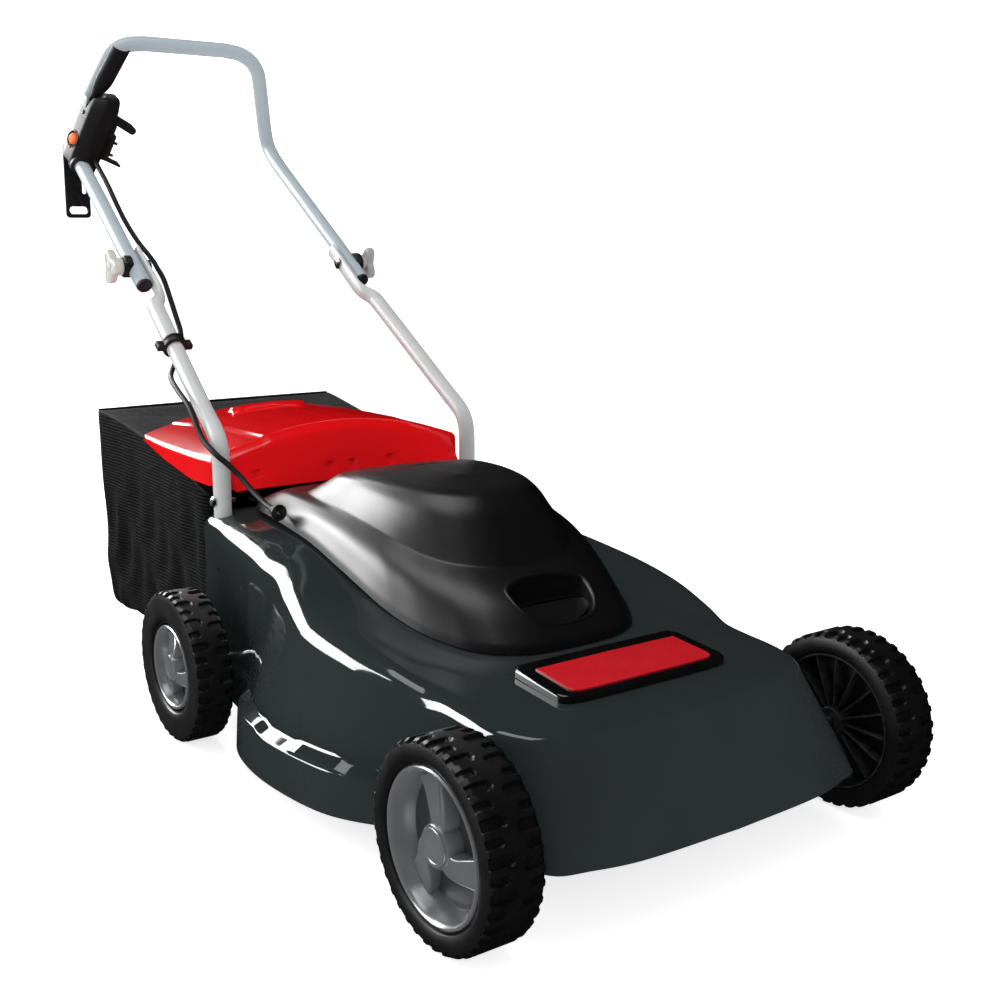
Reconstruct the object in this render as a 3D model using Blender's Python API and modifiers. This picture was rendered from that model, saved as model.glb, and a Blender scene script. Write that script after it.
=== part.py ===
"""Electric walk-behind lawn mower with a pressed-steel deck, folding handle and rear grass bag.

Metres, +Z up, the front of the mower faces -Y. While a piece is modelled, Y is measured from the
front axle; place() then takes CENTRE_Y off, so that the origin lies on the ground below the
middle of the mower's outer box. Pieces that mirror each other are made by one function with
side = -1 (left) or +1 (right).
"""
import math

import bmesh
import bpy
from mathutils import Matrix, Vector

# ---------------------------------------------------------------- driving dimensions (metres)
CENTRE_Y = 0.5465

FRONT_WHEEL_R = 0.0950
REAR_WHEEL_R = 0.0908
FRONT_TYRE_WIDTH = 0.057
REAR_TYRE_WIDTH = 0.045
TRACK_HALF = 0.2837
REAR_AXLE_Y = 0.571
AXLE_R = 0.0060

SPINDLE_Y = 0.350
BLADE_Z = 0.048
BLADE_LENGTH = 0.456
SHAFT_R = 0.0085
MOTOR_SEAT_Z = 0.197

TUBE_R = 0.0110
TUBE_WALL = 0.0013
FOLD_Y = 0.9220
FOLD_Z = 0.5485
HANDLE_SLOPE = math.radians(34.2)
UPPER_LEG_X = 0.1700
LOWER_END_X = 0.1543
FLAT_TUBE = 0.0087
BOLT_R = 0.0040

FLAP_HINGE_Y = 0.643
FLAP_HINGE_Z = 0.311
STEEL = 0.0020
PLASTIC = 0.0026
CABLE_R = 0.0035
GAP = 0.0003

LEVER_TILT = math.radians(19.0)
SWITCH_SIZE = Vector((0.044, 0.054, 0.112))
SWITCH_CENTRE = Vector((-0.1520, 1.1290, 0.7330))
LEG_UP = Vector((0.303, -0.337, 0.891)).normalized()
SIDE_OUT = Vector((-0.947, 0.0, 0.322)).normalized()

PARTS = None
CUTTERS = None


# ---------------------------------------------------------------- scene and materials
def clear_scene():
    for obj in list(bpy.data.objects):
        bpy.data.objects.remove(obj, do_unlink=True)


def new_collection(name):
    coll = bpy.data.collections.new(name)
    bpy.context.scene.collection.children.link(coll)
    return coll


PALETTE = {
    "deck_paint": ((0.020, 0.028, 0.027), 0.22, 0.0),
    "cover_plastic": ((0.030, 0.030, 0.032), 0.38, 0.0),
    "black_plastic": ((0.022, 0.022, 0.024), 0.45, 0.0),
    "flap_red": ((0.700, 0.012, 0.016), 0.25, 0.0),
    "badge_red": ((0.720, 0.020, 0.030), 0.30, 0.0),
    "button_orange": ((0.900, 0.160, 0.020), 0.35, 0.0),
    "tube_silver": ((0.780, 0.780, 0.760), 0.30, 0.3),
    "tube_blue_grey": ((0.520, 0.580, 0.610), 0.32, 0.3),
    "knob_white": ((0.740, 0.730, 0.660), 0.40, 0.0),
    "knob_grey": ((0.420, 0.430, 0.420), 0.45, 0.0),
    "rim_grey": ((0.330, 0.340, 0.350), 0.35, 0.1),
    "tyre_rubber": ((0.016, 0.016, 0.017), 0.60, 0.0),
    "steel": ((0.560, 0.560, 0.560), 0.30, 1.0),
    "lamination": ((0.300, 0.290, 0.280), 0.50, 0.8),
    "brass": ((0.700, 0.560, 0.300), 0.30, 1.0),
    "aluminium": ((0.620, 0.620, 0.630), 0.40, 1.0),
    "fabric_black": ((0.014, 0.018, 0.017), 0.85, 0.0),
    "cable_black": ((0.012, 0.012, 0.013), 0.50, 0.0),
}


def material(name):
    """The Principled BSDF material called name, made on first use."""
    if name in bpy.data.materials:
        return bpy.data.materials[name]
    colour, roughness, metallic = PALETTE[name]
    mat = bpy.data.materials.new(name)
    mat.use_nodes = True
    shader = mat.node_tree.nodes["Principled BSDF"]
    shader.inputs["Base Color"].default_value = (*colour, 1.0)
    shader.inputs["Roughness"].default_value = roughness
    shader.inputs["Metallic"].default_value = metallic
    return mat


# ---------------------------------------------------------------- mesh helpers
def add(name, mesh, mat=None, sharp_deg=35.0):
    """A new object from mesh; a piece of the mower if it has a material, else a cutter."""
    obj = bpy.data.objects.new(name, mesh)
    if mat is None:
        CUTTERS.objects.link(obj)
        obj.hide_render = True
        obj.display_type = "WIRE"
    else:
        PARTS.objects.link(obj)
        mesh.materials.append(material(mat))
        mesh.shade_smooth()
        mesh.set_sharp_from_angle(angle=math.radians(sharp_deg))
    return obj


def from_bmesh(name, bm, mat=None, sharp_deg=35.0):
    mesh = bpy.data.meshes.new(name)
    bmesh.ops.recalc_face_normals(bm, faces=bm.faces)
    bm.to_mesh(mesh)
    bm.free()
    return add(name, mesh, mat, sharp_deg)


def smooth_path(points, per_span):
    """Points of a Catmull-Rom curve through points, per_span of them for each span."""
    pts = [Vector(p) for p in points]
    ends = [pts[0] * 2 - pts[1], *pts, pts[-1] * 2 - pts[-2]]
    path = []
    for i in range(len(pts) - 1):
        p0, p1, p2, p3 = ends[i:i + 4]
        for k in range(per_span):
            t = k / per_span
            path.append(0.5 * (2 * p1 + (p2 - p0) * t + (2 * p0 - 5 * p1 + 4 * p2 - p3) * t * t
                               + (3 * p1 - p0 - 3 * p2 + p3) * t ** 3))
    path.append(pts[-1])
    return path


def thinned(path, turn=math.radians(3.0)):
    """The path without the points at which it hardly turns."""
    kept = [path[0]]
    for here, after in zip(path[1:], path[2:]):
        if (here - kept[-1]).angle(after - here) > turn:
            kept.append(here)
    return kept + [path[-1]]


def half_shell(name, rings, thickness, mat):
    """A shell lofted between the rings of its +X half, mirrored at X = 0 and made solid.

    Every ring runs from the front centre round the right side to the rear centre.
    """
    bm = bmesh.new()
    grid = [[bm.verts.new(p) for p in ring] for ring in rings]
    for low, high in zip(grid[:-1], grid[1:]):
        for i in range(len(low) - 1):
            bm.faces.new((low[i], low[i + 1], high[i + 1], high[i]))
    for row in grid:
        row[0].co.x = 0.0
        row[-1].co.x = 0.0
    bmesh.ops.remove_doubles(bm, verts=bm.verts, dist=1e-6)
    mesh = bpy.data.meshes.new(name)
    bm.to_mesh(mesh)
    bm.free()
    obj = add(name, mesh, mat)
    mirror = obj.modifiers.new("mirror", "MIRROR")
    mirror.use_clip = True
    mirror.merge_threshold = 0.0001
    solid = obj.modifiers.new("solid", "SOLIDIFY")
    solid.thickness = thickness
    solid.offset = -1.0
    return obj


def box(name, size, centre, mat=None, bevel=0.0, frame=None, segments=1):
    """A box of the given size, turned by the 3x3 frame, with its edges rounded by bevel."""
    bm = bmesh.new()
    bmesh.ops.create_cube(bm, size=1.0)
    bmesh.ops.scale(bm, vec=Vector(size), verts=bm.verts)
    if bevel:
        bmesh.ops.bevel(bm, geom=list(bm.edges), offset=bevel, segments=segments, profile=0.5,
                        affect="EDGES")
    turn = frame.to_4x4() if frame else Matrix.Identity(4)
    bmesh.ops.transform(bm, matrix=Matrix.Translation(Vector(centre)) @ turn, verts=bm.verts)
    return from_bmesh(name, bm, mat)


def rod(name, start, end, radius, mat=None, sides=16):
    """A cylinder from start to end."""
    start, end = Vector(start), Vector(end)
    bm = bmesh.new()
    bmesh.ops.create_cone(bm, cap_ends=True, segments=sides, radius1=radius, radius2=radius,
                          depth=(end - start).length)
    turn = (end - start).to_track_quat("Z", "X").to_matrix().to_4x4()
    bmesh.ops.transform(bm, matrix=Matrix.Translation((start + end) / 2) @ turn, verts=bm.verts)
    return from_bmesh(name, bm, mat)


def turned(name, profile, centre, mat=None, axis=(0, 0, 1), steps=24, sharp_deg=35.0):
    """A turned body: (radius, height) points, down the outer side, about axis through centre.

    A profile that starts or ends off the axis is a closed loop.
    """
    bm = bmesh.new()
    verts = [bm.verts.new((r, 0.0, h)) for r, h in profile]
    for a, b in zip(verts[:-1], verts[1:]):
        bm.edges.new((a, b))
    if profile[0][0] > 1e-6 or profile[-1][0] > 1e-6:
        bm.edges.new((verts[-1], verts[0]))
    mesh = bpy.data.meshes.new(name)
    bm.to_mesh(mesh)
    bm.free()
    obj = add(name, mesh, mat, sharp_deg)
    obj.location = centre
    obj.rotation_euler = Vector(axis).to_track_quat("Z", "X").to_euler()
    screw = obj.modifiers.new("turn", "SCREW")
    screw.axis = "Z"
    screw.steps = steps
    screw.render_steps = steps
    screw.use_merge_vertices = True
    screw.merge_threshold = 0.0001
    screw.use_smooth_shade = True
    return obj


def curve_mesh(name, points, radius, resolution, mat=None, cyclic=False, caps=True):
    """The mesh of a round bar along points, with filled and welded caps."""
    data = bpy.data.curves.new(name, "CURVE")
    data.dimensions = "3D"
    data.bevel_depth = radius
    data.bevel_resolution = resolution
    data.use_fill_caps = caps and not cyclic
    spline = data.splines.new("POLY")
    spline.points.add(len(points) - 1)
    for point, co in zip(spline.points, points):
        point.co = (*co, 1.0)
    spline.use_cyclic_u = cyclic
    bar = bpy.data.objects.new(name + "_path", data)
    bpy.context.scene.collection.objects.link(bar)
    bpy.context.view_layer.update()
    evaluated = bar.evaluated_get(bpy.context.evaluated_depsgraph_get())
    mesh = bpy.data.meshes.new_from_object(evaluated)
    mesh.name = name
    bpy.data.objects.remove(bar, do_unlink=True)
    bpy.data.curves.remove(data)
    bm = bmesh.new()
    bm.from_mesh(mesh)
    bmesh.ops.remove_doubles(bm, verts=bm.verts, dist=1e-6)
    if caps:
        bmesh.ops.recalc_face_normals(bm, faces=bm.faces)
    bm.to_mesh(mesh)
    bm.free()
    return add(name, mesh, mat)


def plate(name, outline, thickness, frame, centre, mat=None, holes=(), bevel=0.0):
    """A flat plate with the outline (u, v) and holes, lying in the frame's first two axes."""
    data = bpy.data.curves.new(name, "CURVE")
    data.dimensions = "2D"
    data.fill_mode = "BOTH"
    data.extrude = thickness / 2 - bevel
    data.bevel_depth = bevel
    data.bevel_resolution = 0
    data.offset = -bevel
    for ring in (outline, *holes):
        spline = data.splines.new("POLY")
        spline.points.add(len(ring) - 1)
        for point, (u, v) in zip(spline.points, ring):
            point.co = (u, v, 0.0, 1.0)
        spline.use_cyclic_u = True
    flat = bpy.data.objects.new(name + "_outline", data)
    bpy.context.scene.collection.objects.link(flat)
    bpy.context.view_layer.update()
    evaluated = flat.evaluated_get(bpy.context.evaluated_depsgraph_get())
    mesh = bpy.data.meshes.new_from_object(evaluated)
    mesh.name = name
    bpy.data.objects.remove(flat, do_unlink=True)
    bpy.data.curves.remove(data)
    bm = bmesh.new()
    bm.from_mesh(mesh)
    bmesh.ops.remove_doubles(bm, verts=bm.verts, dist=1e-6)
    bmesh.ops.transform(bm, matrix=Matrix.Translation(Vector(centre)) @ frame.to_4x4(),
                        verts=bm.verts)
    bmesh.ops.recalc_face_normals(bm, faces=bm.faces)
    bm.to_mesh(mesh)
    bm.free()
    return add(name, mesh, mat)


def cut(obj, cutter, operation="DIFFERENCE"):
    boolean = obj.modifiers.new("cut", "BOOLEAN")
    boolean.operation = operation
    boolean.object = cutter
    boolean.solver = "EXACT"


def frame_of(x_axis, y_axis):
    """The right-handed 3x3 frame whose first axis is x_axis and whose second is near y_axis."""
    first = Vector(x_axis).normalized()
    third = first.cross(Vector(y_axis)).normalized()
    return Matrix((first, third.cross(first), third)).transposed()


def circle_points(radius, count, centre=(0.0, 0.0)):
    return [(centre[0] + radius * math.cos(2 * math.pi * k / count),
             centre[1] + radius * math.sin(2 * math.pi * k / count)) for k in range(count)]


def rounded_slot(width, height, centre=(0.0, 0.0), corner=None, steps=3):
    """Outline of a rectangle with rounded corners."""
    corner = min(width, height) / 2 - 1e-5 if corner is None else corner
    pts = []
    for k, (sx, sy) in enumerate(((1, 1), (-1, 1), (-1, -1), (1, -1))):
        cx = centre[0] + sx * (width / 2 - corner)
        cy = centre[1] + sy * (height / 2 - corner)
        for j in range(steps + 1):
            a = math.pi / 2 * (k + j / steps)
            pts.append((cx + corner * math.cos(a), cy + corner * math.sin(a)))
    return pts


XY = Matrix.Identity(3)
XZ = frame_of((1, 0, 0), (0, 0, 1))


# ---------------------------------------------------------------- deck
def deck_outlines():
    """Rings of the deck's right half, lip to motor seat, each with the same 16 stations."""
    lip = [(0, -.090, .070), (.105, -.086, .070), (.160, -.075, .070), (.199, -.055, .069),
           (.208, .020, .064), (.211, .100, .050), (.236, .158, .039), (.266, .225, .035),
           (.280, .320, .035), (.273, .400, .035), (.250, .455, .035), (.220, .497, .037),
           (.208, .600, .040), (.196, .657, .040), (.100, .662, .040), (0, .662, .040)]
    flange = [(0, -.086, .078), (.105, -.082, .078), (.159, -.071, .078), (.197, -.050, .078),
              (.207, .022, .078), (.210, .100, .078), (.235, .158, .080), (.264, .226, .081),
              (.278, .320, .081), (.271, .399, .081), (.248, .453, .081), (.219, .496, .081),
              (.208, .600, .081), (.196, .657, .081), (.100, .662, .081), (0, .662, .081)]
    foot = [(0, -.078, .092), (.105, -.074, .092), (.158, -.063, .092), (.195, -.042, .092),
            (.206, .025, .092), (.209, .103, .092), (.222, .165, .089), (.249, .232, .088),
            (.262, .320, .088), (.255, .394, .088), (.235, .446, .088), (.214, .493, .090),
            (.207, .600, .092), (.195, .656, .092), (.100, .661, .092), (0, .661, .092)]
    shoulder = [(0, -.034, .1655), (.097, -.026, .1655), (.150, -.015, .1655),
                (.178, .001, .1655), (.200, .044, .166), (.205, .115, .170), (.219, .170, .182),
                (.234, .235, .192), (.240, .310, .201), (.225, .385, .214), (.209, .450, .223),
                (.207, .500, .230), (.204, .600, .243), (.193, .650, .247), (.100, .656, .250),
                (0, .656, .250)]
    brow = [(0, -.026, .1700), (.096, -.018, .1700), (.146, -.008, .1700), (.172, .006, .1700),
            (.193, .048, .172), (.198, .118, .177), (.211, .172, .189), (.225, .236, .200),
            (.231, .310, .209), (.216, .383, .222), (.201, .448, .231), (.199, .500, .238),
            (.196, .598, .250), (.187, .643, .253), (.098, .649, .256), (0, .649, .256)]
    saddle = [(0, .155, .1815), (.045, .158, .1815), (.078, .169, .1825), (.100, .190, .184),
              (.113, .213, .187), (.125, .240, .192), (.134, .266, .199), (.141, .293, .207),
              (.146, .325, .218), (.149, .372, .231), (.149, .430, .245), (.149, .490, .254),
              (.149, .560, .259), (.143, .615, .261), (.080, .622, .262), (0, .622, .262)]
    count = len(lip)
    seat, mouth = [], []
    for k in range(count):
        a = math.pi * (k / (count - 1) - 0.5)
        seat.append((0.092 * math.cos(a), SPINDLE_Y + 0.092 * math.sin(a), MOTOR_SEAT_Z))
        mouth.append((0.040 * math.cos(a), SPINDLE_Y + 0.040 * math.sin(a), MOTOR_SEAT_Z))
    return lip, flange, foot, shoulder, brow, saddle, seat, mouth


def deck():
    rings = deck_outlines()
    obj = half_shell("deck", rings, STEEL, "deck_paint")
    chute = box("cut_chute", (0.250, 0.060, 0.150), (0, 0.668, 0.150), bevel=0.018, segments=2)
    cut(obj, chute)
    for side in (-1, 1):
        tag = "left" if side < 0 else "right"
        for where, y, z in (("front", 0.0, FRONT_WHEEL_R), ("rear", REAR_AXLE_Y, REAR_WHEEL_R)):
            hole = rod(f"cut_axle_{where}_{tag}", (side * 0.190, y, z), (side * 0.2300, y, z),
                       AXLE_R + 0.0006, sides=16)
            cut(obj, hole)
        socket = rod(f"cut_socket_{tag}", (side * 0.1835, 0.623, 0.235),
                     (side * 0.1835, 0.623, 0.290), TUBE_R + 0.0006, sides=16)
        cut(obj, socket)
    return [obj]


# ---------------------------------------------------------------- motor cover and badge
def cover_outlines():
    """Rings of the motor cover's right half, from its foot on the deck to the dome's ridge."""
    foot = [(0, .146, .1830), (.050, .149, .1832), (.085, .163, .1840), (.108, .187, .1858),
            (.122, .213, .189), (.134, .242, .1945), (.142, .270, .202), (.149, .300, .212),
            (.154, .335, .225), (.156, .385, .239), (.156, .450, .2535), (.156, .530, .2625),
            (.154, .585, .266), (.140, .603, .2665), (.080, .606, .267), (0, .606, .267)]
    hem = [(x * 0.985, y + 0.003 * (1 - k / 8), z + 0.0075) for k, (x, y, z) in enumerate(foot)]
    crease = [(0, .235, .250), (.035, .238, .251), (.062, .250, .254), (.083, .268, .257),
              (.098, .290, .262), (.108, .310, .268), (.114, .330, .274), (.118, .355, .280),
              (.121, .385, .285), (.122, .420, .289), (.122, .460, .291), (.120, .500, .292),
              (.113, .530, .292), (.090, .548, .292), (.050, .554, .292), (0, .556, .292)]
    edge = [(0, .293, .3205), (.028, .296, .3205), (.050, .308, .321), (.066, .325, .3215),
            (.076, .345, .322), (.083, .370, .3225), (.087, .395, .323), (.089, .420, .323),
            (.089, .445, .3225), (.087, .468, .321), (.081, .488, .319), (.070, .501, .317),
            (.055, .508, .316), (.037, .512, .315), (.018, .514, .315), (0, .515, .315)]
    hood, wall = [], []
    for k, (low, high) in enumerate(zip(hem, crease)):
        mid = (Vector(low) + Vector(high)) / 2
        hood.append(mid + Vector((0.006 * min(k, 15 - k) / 8, -0.006 if k < 8 else 0.003, 0.008)))
    for low, high in zip(crease, edge):
        wall.append(Vector(low).lerp(Vector(high), 0.68) + Vector((0, 0, 0.0075)))
    rim = [Vector(p).lerp(Vector((0, 0.41, 0.326)), 0.12) + Vector((0, 0, 0.0025)) for p in edge]
    inner = [Vector(p).lerp(Vector((0, 0.41, 0.326)), 0.55) + Vector((0, 0, 0.0040)) for p in edge]
    ridge = [(0, 0.41 + (p[1] - 0.41) * 0.35, 0.3290) for p in edge]
    return foot, hem, hood, crease, wall, edge, rim, inner, ridge


def motor_cover():
    rings = cover_outlines()
    obj = half_shell("motor_cover", rings, PLASTIC, "cover_plastic")
    intake_frame = Matrix.Rotation(math.radians(33.0), 3, "X")
    intake = box("cut_intake", (0.084, 0.030, 0.030), (0, 0.197, 0.2300), bevel=0.007,
                 frame=intake_frame, segments=2)
    cut(obj, intake)
    for k in range(4):
        slot = box(f"cut_vent_{k}", (0.070, 0.0035, 0.030), (0, 0.446 + 0.012 * k, 0.3200))
        cut(obj, slot)
    return [obj]


def badge():
    """A plain plate with a coloured insert, lying on the deck's nose."""
    tilt = Matrix.Rotation(math.atan2(0.0095, 0.125), 3, "X")
    plate_outline = rounded_slot(0.218, 0.078, corner=0.010)
    insert_outline = rounded_slot(0.186, 0.050, corner=0.004)
    base = plate("badge_plate", plate_outline, 0.0040, tilt, (0, 0.0880, 0.1834),
                 "black_plastic")
    insert = plate("badge_insert", insert_outline, 0.0016, tilt, (0, 0.0810, 0.1860), "badge_red")
    return [base, insert]


# ---------------------------------------------------------------- motor and blade
def motor():
    top = MOTOR_SEAT_Z + STEEL
    at = (0, SPINDLE_Y, 0)
    end_plate = turned("motor_end_plate",
                       [(0.0215, top + 0.0063), (0.0720, top + 0.0063), (0.0720, top + GAP),
                        (0.0215, top + GAP)], at, "aluminium", steps=20)
    can = turned("motor_can",
                 [(0.0120, 0.3120), (0.0540, 0.3120), (0.0580, 0.3080), (0.0580, top + 0.0066),
                  (0.0560, top + 0.0066), (0.0560, 0.3060), (0.0520, 0.3100), (0.0120, 0.3100)],
                 at, "black_plastic", steps=20)
    stator = turned("stator_core",
                    [(0.0350, 0.2830), (0.0556, 0.2830), (0.0556, 0.2270), (0.0350, 0.2270)],
                    at, "lamination", steps=20)
    bearings = []
    for label, z in (("lower", top + GAP), ("upper", 0.2930)):
        outer = 0.0210 if label == "lower" else 0.0200
        bearings.append(turned(f"bearing_{label}",
                               [(SHAFT_R + GAP, z + 0.0100), (outer, z + 0.0100), (outer, z),
                                (SHAFT_R + GAP, z)], at, "steel", steps=16))
    capacitor = rod("capacitor", (-0.034, 0.462, 0.2630), (0.034, 0.462, 0.2630), 0.0180,
                    "aluminium", sides=16)
    return [end_plate, can, stator, *bearings, capacitor]


def rotor():
    at = (0, SPINDLE_Y, 0)
    shaft = turned("rotor_shaft",
                   [(0.0, 0.3060), (SHAFT_R, 0.3060), (SHAFT_R, 0.0545), (0.0, 0.0545)],
                   at, "steel", steps=16)
    core = turned("rotor_core",
                  [(SHAFT_R + GAP, 0.2820), (0.0342, 0.2820), (0.0342, 0.2280),
                   (SHAFT_R + GAP, 0.2280)], at, "lamination", steps=20)
    vanes = []
    count = 10
    for k in range(count * 4):
        radius = (0.030, 0.056, 0.058, 0.032)[k % 4]
        a = 2 * math.pi * (k + (0.35 if k % 4 in (1, 2) else 0.0)) / (count * 4)
        vanes.append((radius * math.cos(a), radius * math.sin(a)))
    fan = plate("fan", vanes, 0.0120, XY, (0, SPINDLE_Y, 0.1740), "black_plastic",
                holes=[circle_points(SHAFT_R + GAP, 12)])
    hub = turned("blade_hub",
                 [(SHAFT_R + GAP, 0.0840), (0.0170, 0.0840), (0.0190, 0.0600), (0.0300, 0.0560),
                  (0.0300, BLADE_Z + 0.0018), (SHAFT_R + GAP, BLADE_Z + 0.0018)], at,
                 "aluminium", steps=16)
    half, wide = BLADE_LENGTH / 2, 0.0230
    outline = [(-half, -wide + 0.006), (-half + 0.070, -wide), (half - 0.070, -wide + 0.004),
               (half, -wide + 0.004), (half, wide - 0.006), (half - 0.070, wide),
               (-half + 0.070, wide - 0.004), (-half, wide - 0.004)]
    turn = Matrix.Rotation(math.radians(25.0), 3, "Z")
    blade = plate("blade", outline, 0.0030, turn, (0, SPINDLE_Y, BLADE_Z), "steel",
                  holes=[circle_points(0.0062, 10)])
    bolt = turned("blade_bolt",
                  [(0.0, 0.0540), (0.0058, 0.0540), (0.0058, BLADE_Z - 0.0018),
                   (0.0150, BLADE_Z - 0.0018), (0.0150, BLADE_Z - 0.0040),
                   (0.0095, BLADE_Z - 0.0040), (0.0095, BLADE_Z - 0.0110),
                   (0.0, BLADE_Z - 0.0110)], at, "steel", steps=12)
    return [shaft, core, fan, hub, blade, bolt]


# ---------------------------------------------------------------- wheels and axles
def tyre_profile(radius, seat, width):
    half = width / 2
    return [(seat, half * 0.90), (seat + 0.004, half), (radius * 0.955, half * 0.97),
            (radius * 0.985, half * 0.86), (radius, half * 0.66), (radius, -half * 0.66),
            (radius * 0.985, -half * 0.86), (radius * 0.955, -half * 0.97),
            (seat + 0.004, -half), (seat, -half * 0.90)]


def front_rim_profile(seat, width):
    half = width / 2
    return [(AXLE_R + GAP, 0.0212), (0.0185, 0.0212), (0.0200, 0.0190), (0.0200, -0.0040),
            (0.0600, -0.0060), (0.0660, half * 0.80), (0.0700, half * 0.92), (seat, half * 0.88),
            (seat, -half * 0.88), (0.0690, -half * 0.86), (0.0620, -0.0100),
            (0.0165, -0.0090), (0.0150, -half * 0.95), (AXLE_R + GAP, -half * 0.95)]


def rear_rim_profile(seat, width):
    half = width / 2
    return [(0.0, 0.0215), (0.0140, 0.0215), (0.0155, 0.0195), (0.0160, 0.0000),
            (0.0420, -0.0010), (0.0465, half * 0.80), (0.0495, half * 0.92), (seat, half * 0.88),
            (seat, -half * 0.88), (0.0520, -half * 0.86), (0.0470, -0.0050),
            (0.0160, -0.0040), (0.0150, -half * 0.95), (AXLE_R + GAP, -half * 0.95),
            (AXLE_R + GAP, 0.0180), (0.0, 0.0180)]


def spokes(tag, centre, side, hub_r, reach, depth):
    """Cutter with the outline of three swirling spokes; it's joined to a rim."""
    outline = []
    for k in range(3):
        for radius, turn in ((hub_r, -0.62), (hub_r + 0.012, -0.30), (reach, 0.16),
                             (reach, 0.62), (hub_r + 0.014, 0.46), (hub_r, 0.42)):
            a = 2 * math.pi * k / 3 + turn
            outline.append((radius * math.cos(a), radius * math.sin(a)))
    frame = frame_of((0, side, 0), (0, 0, 1))
    middle = Vector(centre) + Vector((side * (depth / 2 - 0.0045), 0, 0))
    return plate(f"join_spokes_{tag}", outline, depth, frame, middle,
                 holes=[circle_points(0.0100, 12)])


def wheel(where, side):
    front = where == "front"
    tag = f"{where}_{'left' if side < 0 else 'right'}"
    radius = FRONT_WHEEL_R if front else REAR_WHEEL_R
    width = FRONT_TYRE_WIDTH if front else REAR_TYRE_WIDTH
    seat = 0.0735 if front else 0.0555
    centre = (side * (TRACK_HALF - width / 2), 0.0 if front else REAR_AXLE_Y, radius)
    axis = (side, 0, 0)
    rim_profile = front_rim_profile if front else rear_rim_profile
    tyre = turned(f"tyre_{tag}", tyre_profile(radius, seat + 2.5 * GAP, width), centre,
                  "tyre_rubber", axis, steps=27)
    rim = turned(f"rim_{tag}", rim_profile(seat, width), centre, "rim_grey", axis, steps=16)
    hub_r, reach = (0.0185, 0.0680) if front else (0.0145, 0.0485)
    cut(rim, spokes(tag, centre, side, hub_r, reach, 0.0190 if front else 0.0150), "UNION")
    pieces = [tyre, rim]
    if front:
        cap = turned(f"hub_cap_{tag}",
                     [(0.0, 0.0240), (0.0150, 0.0237), (0.0178, 0.0225), (0.0180, 0.0216),
                      (0.0, 0.0216)], centre, "rim_grey", axis, steps=16)
        pieces.append(cap)
    return pieces


def axles():
    front_end = TRACK_HALF - FRONT_TYRE_WIDTH / 2 + 0.0205
    rear_end = TRACK_HALF - REAR_TYRE_WIDTH / 2 + 0.0174
    front = rod("front_axle", (-front_end, 0, FRONT_WHEEL_R), (front_end, 0, FRONT_WHEEL_R),
                AXLE_R, "steel", sides=16)
    rear = rod("rear_axle", (-rear_end, REAR_AXLE_Y, REAR_WHEEL_R),
               (rear_end, REAR_AXLE_Y, REAR_WHEEL_R), AXLE_R, "steel", sides=16)
    return [front, rear]


# ---------------------------------------------------------------- handle
def slope_point(distance, x):
    """The point of the handle's side slope at a distance past the fold bolt."""
    return Vector((x, FOLD_Y + distance * math.cos(HANDLE_SLOPE),
                   FOLD_Z + distance * math.sin(HANDLE_SLOPE)))


def upper_tube_path():
    """Right leg from its capped end over the knee to the grip, then the left leg back."""
    leg = [slope_point(0.042, UPPER_LEG_X), slope_point(0.090, 0.1686),
           slope_point(0.160, 0.1668), slope_point(0.262, 0.1645),
           (0.1630, 1.1625, 0.7165), (0.1605, 1.1710, 0.7310), (0.1550, 1.1685, 0.7500),
           (0.1415, 1.1495, 0.7880), (0.1290, 1.1310, 0.8230), (0.1215, 1.1225, 0.8400),
           (0.1090, 1.1190, 0.8545), (0.0900, 1.1180, 0.8640), (0.0640, 1.1180, 0.8675)]
    right = [slope_point(-0.042, UPPER_LEG_X)] + thinned(smooth_path(leg, 2))
    left = [Vector((-p.x, p.y, p.z)) for p in reversed(right)]
    return right + left


def upper_tube():
    obj = curve_mesh("upper_tube", upper_tube_path(), TUBE_R, 4, "tube_blue_grey", caps=False)
    solid = obj.modifiers.new("wall", "SOLIDIFY")
    solid.thickness = TUBE_WALL
    solid.offset = -1.0
    for side in (-1, 1):
        tag = "left" if side < 0 else "right"
        hole = rod(f"cut_fold_hole_{tag}", (side * (UPPER_LEG_X - 0.020), FOLD_Y, FOLD_Z),
                   (side * (UPPER_LEG_X + 0.020), FOLD_Y, FOLD_Z), BOLT_R + GAP, sides=12)
        cut(obj, hole)
    return [obj]


def lower_tube_path(side):
    leg = [(0.1835, 0.623, 0.2080), (0.1835, 0.623, 0.2700), (0.1835, 0.6240, 0.3220),
           (0.1832, 0.6290, 0.3440), (0.1828, 0.6420, 0.3590), slope_point(-0.300, 0.1812),
           slope_point(-0.200, 0.1764), slope_point(-0.105, 0.1716), slope_point(-0.086, 0.1690),
           slope_point(-0.070, 0.1610), slope_point(-0.056, LOWER_END_X)]
    path = thinned(smooth_path(leg, 2)) + [slope_point(0.034, LOWER_END_X)]
    return [Vector((side * p.x, p.y, p.z)) for p in path]


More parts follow.
